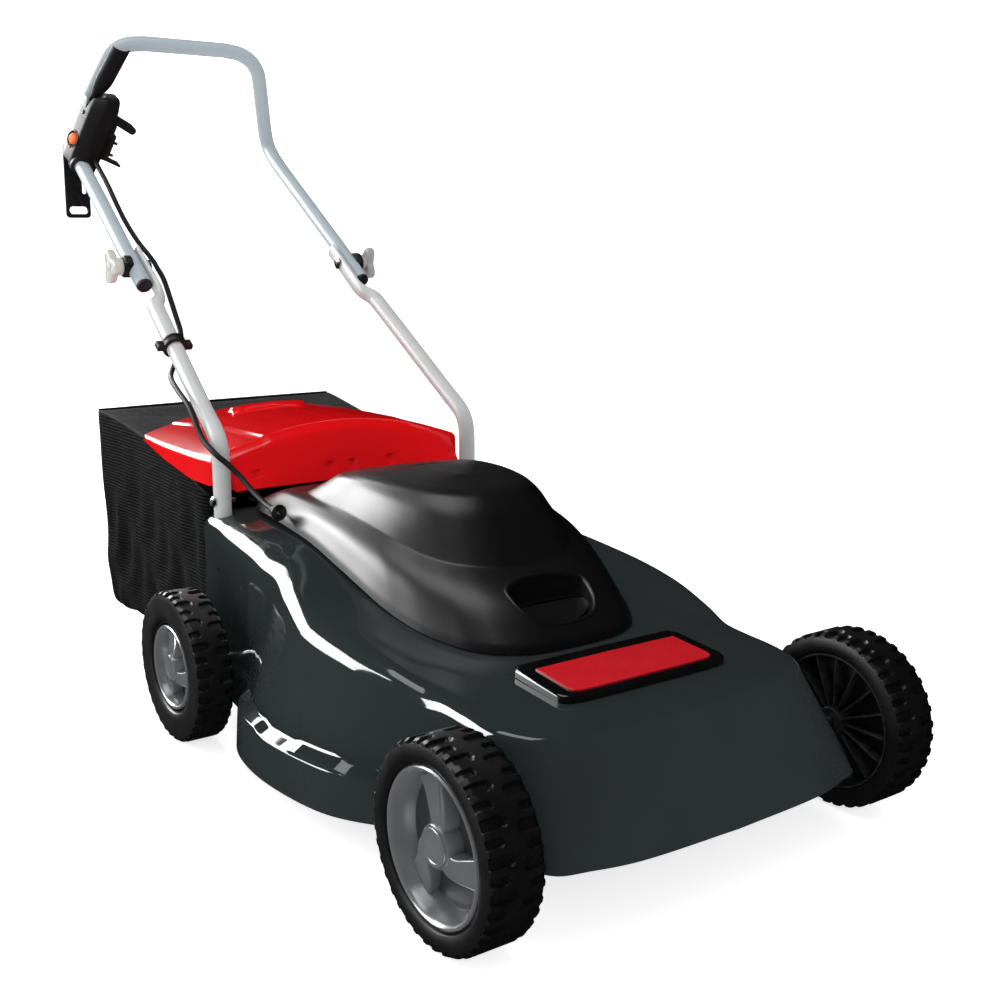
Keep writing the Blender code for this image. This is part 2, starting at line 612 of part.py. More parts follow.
def lower_tube(side):
    """Silver tube from the deck up to the fold bolt, pressed flat at its top end."""
    tag = "left" if side < 0 else "right"
    obj = curve_mesh(f"lower_tube_{tag}", lower_tube_path(side), TUBE_R, 4, "tube_silver",
                     caps=False)
    slope = slope_point(1.0, 0) - slope_point(0.0, 0)
    pivot = slope_point(0.0, 0)
    squeeze = FLAT_TUBE / (2 * TUBE_R)
    for vert in obj.data.vertices:
        along = (Vector((0, vert.co.y, vert.co.z)) - pivot).dot(slope)
        blend = min(max((along + 0.088) / 0.030, 0.0), 1.0)
        across = vert.co.x - side * LOWER_END_X
        vert.co.x = side * LOWER_END_X + across * (1 + (squeeze - 1) * blend)
    solid = obj.modifiers.new("wall", "SOLIDIFY")
    solid.thickness = TUBE_WALL
    solid.offset = -1.0
    hole = rod(f"cut_bolt_hole_{tag}", (side * (LOWER_END_X - 0.0085), FOLD_Y, FOLD_Z),
               (side * (LOWER_END_X + 0.0085), FOLD_Y, FOLD_Z), BOLT_R + GAP, sides=12)
    cut(obj, hole)
    foot_hole = rod(f"cut_foot_hole_{tag}", (side * 0.165, 0.623, 0.2730),
                    (side * 0.202, 0.623, 0.2730), 0.0033, sides=10)
    cut(obj, foot_hole)
    return [obj]


def foot_bolt(side):
    tag = "left" if side < 0 else "right"
    face = 0.1835 + TUBE_R + GAP
    return turned(f"foot_bolt_{tag}",
                  [(0.0, 0.0045), (0.0045, 0.0040), (0.0068, 0.0015), (0.0068, 0.0),
                   (0.0030, 0.0), (0.0030, -0.0280), (0.0, -0.0280)],
                  (side * face, 0.623, 0.2730), "steel", (side, 0, 0), steps=12)


def fold_bolt(side):
    """Coach bolt: round head on the inner face, shank out through both tubes to the knob."""
    tag = "left" if side < 0 else "right"
    face = LOWER_END_X - FLAT_TUBE / 2 - GAP
    return turned(f"fold_bolt_{tag}",
                  [(0.0, 0.0500), (BOLT_R, 0.0500), (BOLT_R, 0.0), (0.0088, 0.0),
                   (0.0088, -0.0014), (0.0055, -0.0036), (0.0, -0.0042)],
                  (side * face, FOLD_Y, FOLD_Z), "steel", (side, 0, 0), steps=16)


def saddle_washer(side):
    """Black saddle between the upper tube and the knob."""
    tag = "left" if side < 0 else "right"
    outer = UPPER_LEG_X + TUBE_R + 0.0062
    obj = turned(f"saddle_washer_{tag}",
                 [(BOLT_R + GAP, 0.0), (0.0125, 0.0), (0.0150, -0.0020), (0.0150, -0.0120),
                  (BOLT_R + GAP, -0.0120)],
                 (side * outer, FOLD_Y, FOLD_Z), "black_plastic", (side, 0, 0), steps=16)
    channel = rod(f"cut_saddle_{tag}", slope_point(-0.03, side * UPPER_LEG_X),
                  slope_point(0.03, side * UPPER_LEG_X), TUBE_R + 0.0004, sides=24)
    cut(obj, channel)
    return obj


def knob(side):
    """Three-lobed clamping knob that turns on the fold bolt."""
    tag = "left" if side < 0 else "right"
    start = UPPER_LEG_X + TUBE_R + 0.0062 + 0.0004
    mat = "knob_white" if side < 0 else "knob_grey"
    turn = frame_of((0, 1, 0), (0, 0, 1)) if side > 0 else frame_of((0, -1, 0), (0, 0, 1))
    lobes = []
    for k in range(24):
        a = 2 * math.pi * k / 24
        radius = 0.0190 + 0.0060 * math.cos(3 * a)
        lobes.append((radius * math.cos(a), radius * math.sin(a)))
    grip = plate(f"knob_{tag}", lobes, 0.0120, turn, (side * (start + 0.0125), FOLD_Y, FOLD_Z),
                 mat, bevel=0.0018)
    hub = rod(f"join_hub_{tag}", (side * start, FOLD_Y, FOLD_Z),
              (side * (start + 0.0100), FOLD_Y, FOLD_Z), 0.0120, sides=12)
    cut(grip, hub, "UNION")
    bore = rod(f"cut_knob_bore_{tag}", (side * (start - 0.0050), FOLD_Y, FOLD_Z),
               (side * (start + 0.0125), FOLD_Y, FOLD_Z), BOLT_R + GAP, sides=12)
    cut(grip, bore)
    return grip


def end_cap(side):
    tag = "left" if side < 0 else "right"
    end = slope_point(-0.042, side * UPPER_LEG_X)
    along = slope_point(-1.0, 0) - slope_point(0.0, 0)
    return turned(f"end_cap_{tag}",
                  [(0.0, 0.0060), (0.0080, 0.0056), (0.0102, 0.0036), (0.0108, 0.0003),
                   (0.0090, 0.0003), (0.0088, -0.0120), (0.0, -0.0120)],
                  end, "black_plastic", along, steps=16)


# ---------------------------------------------------------------- switch box on the left leg
def switch_frame():
    """Columns: outward from the box's button face, forward, and up along the leg."""
    forward = LEG_UP.cross(SIDE_OUT)
    return Matrix((SIDE_OUT, forward, LEG_UP)).transposed()


def in_switch(out, forward, up):
    return SWITCH_CENTRE + switch_frame() @ Vector((out, forward, up))


def switch_box():
    frame = switch_frame()
    path = upper_tube_path()
    channel = curve_mesh("cut_tube_channel", path[len(path) // 2:], TUBE_R + 0.0008, 4)
    depth, width, height = SWITCH_SIZE.y, SWITCH_SIZE.x, SWITCH_SIZE.z
    cover_thick = 0.010
    case = box("switch_case", (width - cover_thick, depth, height),
               in_switch(cover_thick / 2, 0, 0), "black_plastic", bevel=0.006, frame=frame,
               segments=2)
    cut(case, channel)
    hollow = box("cut_case_hollow", (width - cover_thick - 0.006, depth - 0.026, height - 0.030),
                 in_switch(cover_thick / 2 - 0.0060, -0.007, -0.004), frame=frame)
    cut(case, hollow)
    pocket = rod("cut_button_bore", in_switch(0.0, -0.004, -0.012),
                 in_switch(0.040, -0.004, -0.012), 0.0095, sides=20)
    cut(case, pocket)
    lever_slot = box("cut_lever_slot", (0.0240, 0.046, 0.032), in_switch(0.0085, -0.012, 0.052),
                     frame=frame)
    cut(case, lever_slot)
    cover = box("switch_cover", (cover_thick - GAP, depth, height),
                in_switch(-width / 2 + cover_thick / 2, 0, 0), "black_plastic", bevel=0.003,
                frame=frame, segments=1)
    cut(cover, channel)
    shroud_face = -width / 2 - 0.0008
    shroud = box("inlet_shroud", (0.026, 0.036, 0.038),
                 in_switch(shroud_face - 0.013, -0.006, -0.008), "black_plastic", bevel=0.003,
                 frame=frame)
    mouth = box("cut_shroud_mouth", (0.030, 0.029, 0.031),
                in_switch(shroud_face - 0.019, -0.006, -0.008), frame=frame)
    cut(shroud, mouth)
    pins = []
    for label, up in (("upper", 0.0015), ("lower", -0.0175)):
        pins.append(rod(f"inlet_pin_{label}", in_switch(shroud_face - 0.0045, -0.006, up),
                        in_switch(shroud_face - 0.0235, -0.006, up), 0.0022, "brass", sides=10))
    return [case, cover, shroud, *pins]


def button():
    """Lock-off button in the box's outer face; it slides in along the face's normal."""
    return turned("lock_button",
                  [(0.0, 0.0070), (0.0060, 0.0066), (0.0082, 0.0040), (0.0082, -0.0080),
                   (0.0, -0.0080)], in_switch(SWITCH_SIZE.x / 2, -0.004, -0.012), "button_orange",
                  SIDE_OUT, steps=20)


def lever_pivot():
    return in_switch(0.0085, -0.0110, 0.0470)


def lever():
    """Trough-shaped dead-man lever, hinged in the top of the switch box."""
    radius, wall, length, arc = 0.0165, 0.0024, 0.098, math.radians(165.0)
    tilt = Matrix.Rotation(-LEVER_TILT, 3, SIDE_OUT)
    up = tilt @ LEG_UP
    forward = up.cross(SIDE_OUT)
    steps = 8
    bm = bmesh.new()
    rows = []
    for dist, scale in ((0.0, 0.55), (0.010, 0.58), (0.036, 1.0), (length, 1.0)):
        base = lever_pivot() + up * dist
        row = []
        for k in range(steps + 1):
            a = arc * (k / steps - 0.5)
            spread = SIDE_OUT * math.sin(a) * radius * scale
            depth = math.cos(a) * radius * scale - 0.0060
            row.append(bm.verts.new(base + spread + forward * depth))
        rows.append(row)
    for low, high in zip(rows[:-1], rows[1:]):
        for k in range(steps):
            bm.faces.new((low[k], high[k], high[k + 1], low[k + 1]))
    bmesh.ops.recalc_face_normals(bm, faces=bm.faces)
    mesh = bpy.data.meshes.new("stop_lever")
    bm.to_mesh(mesh)
    bm.free()
    obj = add("stop_lever", mesh, "black_plastic")
    solid = obj.modifiers.new("wall", "SOLIDIFY")
    solid.thickness = wall
    solid.offset = 0.0
    return obj


def cord_hook():
    """Strain-relief plate below the switch box, hung behind the leg on a saddle."""
    outline = rounded_slot(0.038, 0.112, corner=0.006)
    holes = [rounded_slot(0.028, 0.011, (0, -0.0445), corner=0.005),
             rounded_slot(0.006, 0.040, (0.010, 0.0), corner=0.0029)]
    obj = plate("cord_hook", outline, 0.0040, XZ, (-0.1535, 1.1880, 0.6680), "black_plastic",
                holes=holes)
    saddle = box("join_hook_saddle", (0.0240, 0.0160, 0.0140), (-0.1600, 1.1800, 0.7160))
    cut(obj, saddle, "UNION")
    path = upper_tube_path()
    channel = curve_mesh("cut_hook_channel", path[len(path) // 2:], TUBE_R + GAP, 4)
    cut(obj, channel)
    return obj


# ---------------------------------------------------------------- cable
def beside_slope(distance, x, above):
    """A point beside the handle's slope: a distance past the fold bolt, and above its line."""
    return slope_point(distance, x) + Vector((0, -math.sin(HANDLE_SLOPE),
                                              math.cos(HANDLE_SLOPE))) * above


def cable_upper_route():
    """From the switch box's foot down the inner side of the left leg to the fold bolt."""
    return [(-0.1475, 1.0800, 0.6740), (-0.1470, 1.0660, 0.6560), (-0.1470, 1.0400, 0.6330),
            (-0.1480, 1.0050, 0.6080), (-0.1450, 0.9700, 0.5820), (-0.1400, 0.9450, 0.5640),
            (-0.1380, 0.9295, 0.5536)]


def cable_lower_route():
    """From the fold bolt under the left tube at the clip, over its elbow and to the gland."""
    return [slope_point(0, -0.1380), slope_point(-0.030, -0.1380),
            beside_slope(-0.070, -0.1430, -0.001), beside_slope(-0.105, -0.1475, -0.003),
            beside_slope(-0.135, -0.1500, -0.009), beside_slope(-0.158, -0.1570, -0.018),
            beside_slope(-0.173, -0.1710, -0.0248), beside_slope(-0.189, -0.1870, -0.0228),
            beside_slope(-0.206, -0.1985, -0.012), beside_slope(-0.230, -0.2020, -0.003),
            beside_slope(-0.262, -0.2020, 0.002), beside_slope(-0.300, -0.2020, 0.006),
            (-0.2010, 0.6380, 0.3520), (-0.1965, 0.6120, 0.3360), (-0.1860, 0.5970, 0.3230),
            (-0.1770, 0.5830, 0.3090), (-0.1710, 0.5620, 0.2940), (-0.1675, 0.5400, 0.2840),
            (-0.1665, 0.5190, 0.2792)]


def cables():
    upper = curve_mesh("cable_upper", thinned(smooth_path(cable_upper_route(), 2)), CABLE_R, 1,
                       "cable_black")
    lower = curve_mesh("cable_lower", thinned(smooth_path(cable_lower_route(), 2)), CABLE_R, 1,
                       "cable_black")
    return upper, lower


def cable_clip():
    """Strap clamp round the left lower tube."""
    centre = slope_point(-0.172, -0.1745)
    along = slope_point(1.0, 0) - slope_point(0.0, 0)
    return turned("cable_clip",
                  [(TUBE_R + 0.0006, 0.0065), (0.0152, 0.0065), (0.0165, 0.0045),
                   (0.0165, -0.0045), (0.0152, -0.0065), (TUBE_R + 0.0006, -0.0065)],
                  centre, "black_plastic", along, steps=18)


def cable_gland():
    return turned("cable_gland",
                  [(CABLE_R + GAP, 0.0160), (0.0055, 0.0160), (0.0075, 0.0030), (0.0100, 0.0020),
                   (0.0100, 0.0), (CABLE_R + GAP, 0.0)],
                  (-0.1665, 0.5020, 0.2785), "black_plastic", (0, 1, 0.04), steps=14)


# ---------------------------------------------------------------- rear flap and bag
def flap_outlines():
    """Rows of the flap's right half, front edge to rear edge; each row is centre to hem."""
    rows = []
    for y, top, half, hem in ((0.615, 0.2850, 0.166, 0.2830), (0.6300, 0.3200, 0.1685, 0.2850),
                              (0.6410, 0.3480, 0.1700, 0.2860), (0.6530, 0.3565, 0.186, 0.2880),
                              (0.7000, 0.3575, 0.192, 0.2900), (0.8000, 0.3545, 0.190, 0.3030),
                              (0.8950, 0.3480, 0.182, 0.3155)):
        row = []
        crown = 1.0 if top > 0.30 else 0.0
        for share in (0.0, 0.22, 0.44, 0.65, 0.83, 0.94):
            x = half * share
            row.append((x, y, max(top - crown * x * x * min(1.0, (top - 0.285) / 0.07), hem)))
        edge = max(top - crown * (half * half) * min(1.0, (top - 0.285) / 0.07), hem)
        row.append((half * 0.99, y, edge + (hem - edge) * 0.25))
        row.append((half, y, edge + (hem - edge) * 0.60))
        row.append((half, y, min(hem, edge)))
        rows.append(row)
    return rows


def rear_flap():
    rows = flap_outlines()
    bm = bmesh.new()
    grid = [[bm.verts.new(p) for p in row] for row in rows]
    for low, high in zip(grid[:-1], grid[1:]):
        for k in range(len(low) - 1):
            bm.faces.new((low[k], low[k + 1], high[k + 1], high[k]))
    bmesh.ops.remove_doubles(bm, verts=bm.verts, dist=1e-5)
    mesh = bpy.data.meshes.new("rear_flap")
    bm.to_mesh(mesh)
    bm.free()
    obj = add("rear_flap", mesh, "flap_red")
    mirror = obj.modifiers.new("mirror", "MIRROR")
    mirror.use_clip = True
    mirror.merge_threshold = 0.0001
    solid = obj.modifiers.new("wall", "SOLIDIFY")
    solid.thickness = PLASTIC
    solid.offset = -1.0
    return obj


def flap_hinge():
    """Hinge pin in a two-eared bracket on the deck, with the flap's return spring round it."""
    pin = rod("flap_hinge_pin", (-0.138, FLAP_HINGE_Y, FLAP_HINGE_Z),
              (0.138, FLAP_HINGE_Y, FLAP_HINGE_Z), 0.0030, "steel", sides=12)
    bracket = box("hinge_bracket", (0.270, 0.018, 0.0020), (0, FLAP_HINGE_Y, 0.2656),
                  "black_plastic")
    for side in (-1, 1):
        tag = "left" if side < 0 else "right"
        ear = box(f"join_ear_{tag}", (0.0040, 0.010, 0.0500),
                  (side * 0.127, FLAP_HINGE_Y, 0.2903))
        cut(bracket, ear, "UNION")
        hole = rod(f"cut_ear_{tag}", (side * 0.120, FLAP_HINGE_Y, FLAP_HINGE_Z),
                   (side * 0.134, FLAP_HINGE_Y, FLAP_HINGE_Z), 0.0030 + GAP, sides=12)
        cut(bracket, hole)
    turns, per_turn, coil_r = 4, 8, 0.0052
    coil = []
    for k in range(turns * per_turn + 1):
        a = 2 * math.pi * k / per_turn
        coil.append((0.090 + 0.0022 * k / per_turn, FLAP_HINGE_Y + coil_r * math.cos(a),
                     FLAP_HINGE_Z + coil_r * math.sin(a)))
    coil.append((coil[-1][0], FLAP_HINGE_Y + coil_r, FLAP_HINGE_Z - 0.018))
    spring = curve_mesh("flap_spring", coil, 0.0008, 0, "steel")
    return [pin, bracket, spring]


def bag_sections():
    """Rounded sections of the bag's right half, mouth to back: (y, half width, low, high)."""
    return ((0.6720, 0.1560, 0.0720, 0.2560, 0.020), (0.6800, 0.1780, 0.0620, 0.2700, 0.030),
            (0.7200, 0.1830, 0.0560, 0.2850, 0.030), (0.8000, 0.1845, 0.0500, 0.3020, 0.028),
            (0.9000, 0.1860, 0.0450, 0.3170, 0.026), (0.9900, 0.1900, 0.0440, 0.3290, 0.026),
            (1.0350, 0.1900, 0.0480, 0.3330, 0.028))


def bag_row(y, half, low, high, corner):
    """Half section at y, from the bottom centre round the side to the top centre."""
    row = [(0.0, y, low), (half * 0.5, y, low), (half - corner, y, low)]
    for k in (1, 2):
        a = math.pi / 6 * k
        row.append((half - corner + corner * math.sin(a), y, low + corner - corner * math.cos(a)))
    for share in (0.0, 0.5, 1.0):
        z = low + corner + (high - low - 1.6 * corner) * share
        row.append((half - 0.003 * math.sin(math.pi * share), y, z))
    row += [(half - 0.35 * corner, y, high - 0.18 * corner), (half - corner, y, high),
            (half * 0.5, y, high + 0.003), (0.0, y, high + 0.004)]
    return row


def grass_bag():
    rows = [bag_row(*section) for section in bag_sections()]
    back = []
    for x, y, z in rows[-1]:
        lean = (z - 0.048) / 0.285
        back.append((x * 0.90, 1.0400 + 0.0260 * lean, 0.190 + (z - 0.190) * 0.93))
    rows.append(back)
    middle = [(x * 0.40, y + 0.003, 0.190 + (z - 0.190) * 0.45) for x, y, z in back]
    rows.append(middle)
    rows.append([(0.0, 1.0565, 0.19 + (z - 0.19) * 0.25) for x, y, z in back])
    bm = bmesh.new()
    grid = [[bm.verts.new(p) for p in row] for row in rows]
    for low, high in zip(grid[:-1], grid[1:]):
        for k in range(len(low) - 1):
            bm.faces.new((low[k], low[k + 1], high[k + 1], high[k]))
    bmesh.ops.remove_doubles(bm, verts=bm.verts, dist=1e-5)
    mesh = bpy.data.meshes.new("bag_shell")
    bm.to_mesh(mesh)
    bm.free()
    obj = add("bag_shell", mesh, "fabric_black", sharp_deg=60.0)
    mirror = obj.modifiers.new("mirror", "MIRROR")
    mirror.use_clip = True
    mirror.merge_threshold = 0.0001
    solid = obj.modifiers.new("wall", "SOLIDIFY")
    solid.thickness = 0.0030
    solid.offset = 1.0
    loop = rounded_slot(0.336, 0.176, (0.0, 0.1680), corner=0.022, steps=4)
    frame = curve_mesh("bag_frame", [(x, 0.7080, z) for x, z in loop], 0.0030, 1, "steel",
                       cyclic=True)
    return [obj, frame]


# ---------------------------------------------------------------- assembly
def pivot_empty(name, point):
    """An empty on a joint's axis, which its pieces are parented to."""
    empty = bpy.data.objects.new(name, None)
    empty.location = Vector(point) - Vector((0, CENTRE_Y, 0))
    PARTS.objects.link(empty)
    return empty


def place(pieces, name, point):
    """Parent the pieces to an empty on their joint's axis and move them to the mower's origin."""
    empty = pivot_empty(name, point)
    for piece in pieces:
        piece.parent = empty
        piece.location = piece.location - Vector(point)
    return empty


def build():
    global PARTS, CUTTERS
    clear_scene()
    PARTS = new_collection("electric_lawn_mower")
    CUTTERS = new_collection("cutters")

    upper_cable, lower_cable = cables()
    chassis = (deck() + motor_cover() + badge() + motor() + axles() + flap_hinge()
               + lower_tube(-1) + lower_tube(1)
               + [foot_bolt(-1), foot_bolt(1), fold_bolt(-1), fold_bolt(1), lower_cable,
                  cable_clip(), cable_gland()])
    handle = (upper_tube() + switch_box()
              + [saddle_washer(-1), saddle_washer(1), end_cap(-1), end_cap(1), cord_hook(),
                 upper_cable])
    place(chassis, "pivot_chassis", (0, 0, 0))
    place(handle, "pivot_upper_handle", (0, FOLD_Y, FOLD_Z))
    place([lever()], "pivot_lever", lever_pivot())
    place([button()], "pivot_button", in_switch(SWITCH_SIZE.x / 2, -0.004, -0.012))
    place(rotor(), "pivot_rotor", (0, SPINDLE_Y, BLADE_Z))
    place([rear_flap()], "pivot_flap", (0, FLAP_HINGE_Y, FLAP_HINGE_Z))
    place(grass_bag(), "pivot_bag", (0, 0.672, 0.160))
    for side in (-1, 1):
        tag = "left" if side < 0 else "right"
        place([knob(side)], f"pivot_knob_{tag}", (side * 0.200, FOLD_Y, FOLD_Z))
        place(wheel("front", side), f"pivot_wheel_front_{tag}",
              (side * TRACK_HALF, 0, FRONT_WHEEL_R))
        place(wheel("rear", side), f"pivot_wheel_rear_{tag}",
              (side * TRACK_HALF, REAR_AXLE_Y, REAR_WHEEL_R))
    shift = Vector((0, CENTRE_Y, 0))
    for cutter in CUTTERS.objects:
        cutter.location = cutter.location - shift


build()
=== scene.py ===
"""Looks of the electric lawn mower: detailed shells, tyres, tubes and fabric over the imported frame.

Shapes are made in metres with Y measured from the front axle, as the frame's own pieces are; SHIFT
then takes them to the row frame. Left-right pairs come from one function with side = -1 or +1.
"""
import math

import bmesh
import bpy
from mathutils import Matrix, Vector, noise
from mathutils.bvhtree import BVHTree


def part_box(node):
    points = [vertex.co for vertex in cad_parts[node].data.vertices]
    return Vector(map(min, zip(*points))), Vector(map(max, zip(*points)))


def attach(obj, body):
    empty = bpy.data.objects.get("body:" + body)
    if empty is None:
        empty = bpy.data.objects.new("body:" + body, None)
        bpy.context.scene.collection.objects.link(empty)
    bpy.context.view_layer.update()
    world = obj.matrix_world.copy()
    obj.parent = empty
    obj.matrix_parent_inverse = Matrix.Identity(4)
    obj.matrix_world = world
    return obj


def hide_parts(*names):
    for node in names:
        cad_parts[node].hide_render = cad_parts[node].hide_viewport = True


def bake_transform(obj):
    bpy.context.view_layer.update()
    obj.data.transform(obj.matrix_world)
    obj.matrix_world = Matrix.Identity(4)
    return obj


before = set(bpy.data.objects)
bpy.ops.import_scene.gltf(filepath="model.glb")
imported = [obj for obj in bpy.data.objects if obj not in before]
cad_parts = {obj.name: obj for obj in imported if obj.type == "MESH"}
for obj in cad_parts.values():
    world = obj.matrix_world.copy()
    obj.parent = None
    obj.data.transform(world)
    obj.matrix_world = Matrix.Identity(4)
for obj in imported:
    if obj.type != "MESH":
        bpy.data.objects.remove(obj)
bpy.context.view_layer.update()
AXLE_LOW, AXLE_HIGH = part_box("front_axle")
SHIFT = Vector((0, (AXLE_LOW[1] + AXLE_HIGH[1]) / 2, 0))

# Wheels: radii, widths over the tyre, the outer face's X and the rear axle's Y.
FRONT_R, REAR_R = 0.095, 0.0908
FRONT_WIDTH, REAR_WIDTH = 0.057, 0.045
TRACK_HALF = 0.2837
REAR_AXLE_Y = 0.571
# The motor's spindle, and the walls of the shells and tubes.
SPINDLE_Y = 0.35
STEEL_WALL, PLASTIC_WALL, TUBE_WALL = 0.002, 0.0026, 0.0013
# Handle: its tubes, feet and fold joint, and the slope that both tubes follow at the fold.
TUBE_R = 0.011
FLAT_TUBE = 0.0087
FOOT_X, FOOT_Y = 0.1835, 0.623
FOLD_Y, FOLD_Z = 0.922, 0.5485
HANDLE_SLOPE = math.radians(34.2)
UPPER_LEG_X, LOWER_END_X = 0.17, 0.1543
CABLE_R = 0.0035
# Switch box: its middle, its own up and outward directions, and the stop lever's tilt from up.
SWITCH_CENTRE = Vector((-0.152, 1.129, 0.733))
LEG_UP = Vector((0.303, -0.337, 0.891)).normalized()
SIDE_OUT = Vector((-0.947, 0.0, 0.322)).normalized()
LEVER_TILT = math.radians(19.0)

LOOKS = {}


# ---------------------------------------------------------------- materials
class Finish:
    """A Principled material whose colour, roughness and relief come from nodes."""

    def __init__(self, name, colour, rough, metallic=0.0, specular=0.5):
        self.mat = bpy.data.materials.new("look_" + name)
        self.mat.use_nodes = True
        self.tree = self.mat.node_tree
        self.shader = self.tree.nodes["Principled BSDF"]
        self.shader.inputs["Metallic"].default_value = metallic
        self.shader.inputs["Specular IOR Level"].default_value = specular
        self.colour, self.rough = colour, rough
        coords = self.tree.nodes.new("ShaderNodeTexCoord")
        self.where = coords.outputs["Object"]
        self.normal = None
        LOOKS[name] = self.mat

    def node(self, kind, values=None, **props):
        made = self.tree.nodes.new("ShaderNode" + kind)
        for key, value in props.items():
            setattr(made, key, value)
        for key, value in (values or {}).items():
            made.inputs[key].default_value = value
        return made

    def join(self, start, end):
        self.tree.links.new(start, end)

    def noise(self, scale, detail=3.0, stretch=None):
        made = self.node("TexNoise", {"Scale": scale, "Detail": detail})
        if stretch:
            mapping = self.node("Mapping", {"Scale": stretch})
            self.join(self.where, mapping.inputs["Vector"])
            self.join(mapping.outputs[0], made.inputs["Vector"])
        else:
            self.join(self.where, made.inputs["Vector"])
        return made.outputs[0]

    def bands(self, pitch, direction, distortion=0.0):
        """Ridges with the given pitch across an axis."""
        made = self.node("TexWave", {"Scale": math.pi / 10 / pitch, "Distortion": distortion,
                                     "Detail": 1.0, "Detail Scale": 2.0},
                         wave_type="BANDS", bands_direction=direction)
        self.join(self.where, made.inputs["Vector"])
        return made.outputs[1]

    def span(self, source, low, high, start=0.0, end=1.0):
        made = self.node("MapRange", {"From Min": start, "From Max": end, "To Min": low,
                                      "To Max": high})
        self.join(source, made.inputs["Value"])
        return made.outputs[0]

    def mixed(self, source, first, second):
        made = self.node("Mix", data_type="RGBA")
        made.inputs[6].default_value = (*first, 1.0)
        made.inputs[7].default_value = (*second, 1.0)
        self.join(source, made.inputs[0])
        return made

    def mottle(self, scale=14.0, amount=0.12):
        """Slow changes of tone over the surface."""
        low = [c * (1 - amount) for c in self.colour]
        high = [c * (1 + amount) for c in self.colour]
        field = self.span(self.noise(scale), 0.0, 1.0, 0.3, 0.7)
        self.base = self.mixed(field, low, high)
        self.join(self.base.outputs[2], self.shader.inputs["Base Color"])
        return self

    def patina(self, scale=45.0, spread=0.06):
        """Uneven roughness, as from handling and dust."""
        field = self.span(self.noise(scale, 4.0), max(self.rough - spread, 0.03),
                          self.rough + spread, 0.3, 0.7)
        self.join(field, self.shader.inputs["Roughness"])
        return self

    def relief(self, height, strength, distance=0.001):
        bump = self.node("Bump", {"Strength": strength, "Distance": distance})
        self.join(height, bump.inputs["Height"])
        if self.normal:
            self.join(self.normal, bump.inputs["Normal"])
        self.normal = bump.outputs[0]
        self.join(self.normal, self.shader.inputs["Normal"])
        return self

    def scuffed_and_highlit(self, colour, start=0.53, end=0.62):
        """A paler tone along convex edges: partly scuffing, partly a painted highlight."""
        geometry = self.node("NewGeometry")
        edge = self.span(geometry.outputs["Pointiness"], 0.0, 1.0, start, end)
        scratch = self.span(self.noise(160.0, 4.0), 0.0, 1.0, 0.42, 0.62)
        both = self.node("Math", operation="MULTIPLY")
        self.join(edge, both.inputs[0])
        self.join(scratch, both.inputs[1])
        top = self.mixed(both.outputs[0], self.colour, colour)
        self.join(self.base.outputs[2], top.inputs[6])
        self.join(top.outputs[2], self.shader.inputs["Base Color"])
        return self


def plastic(name, colour, rough, grain=900.0, strength=0.1, scuff_and_highlight=None, specular=0.5, spread=0.04,
            **tone):
    made = Finish(name, colour, rough, specular=specular).mottle(**tone).patina(45.0, spread)
    made.relief(made.noise(grain, 2.0), strength, 0.0004)
    # Paler convex edges: partly scuffing, partly painted highlight.
    if scuff_and_highlight:
        made.scuffed_and_highlit(scuff_and_highlight)
    return made


def metal(name, colour, rough, metallic=1.0, stretch=(1.0, 1.0, 1.0), strength=0.12, tone=0.1,
          spread=0.08):
    made = Finish(name, colour, rough, metallic).mottle(30.0, tone).patina(70.0, spread)
    made.relief(made.noise(420.0, 3.0, stretch), strength, 0.0003)
    return made


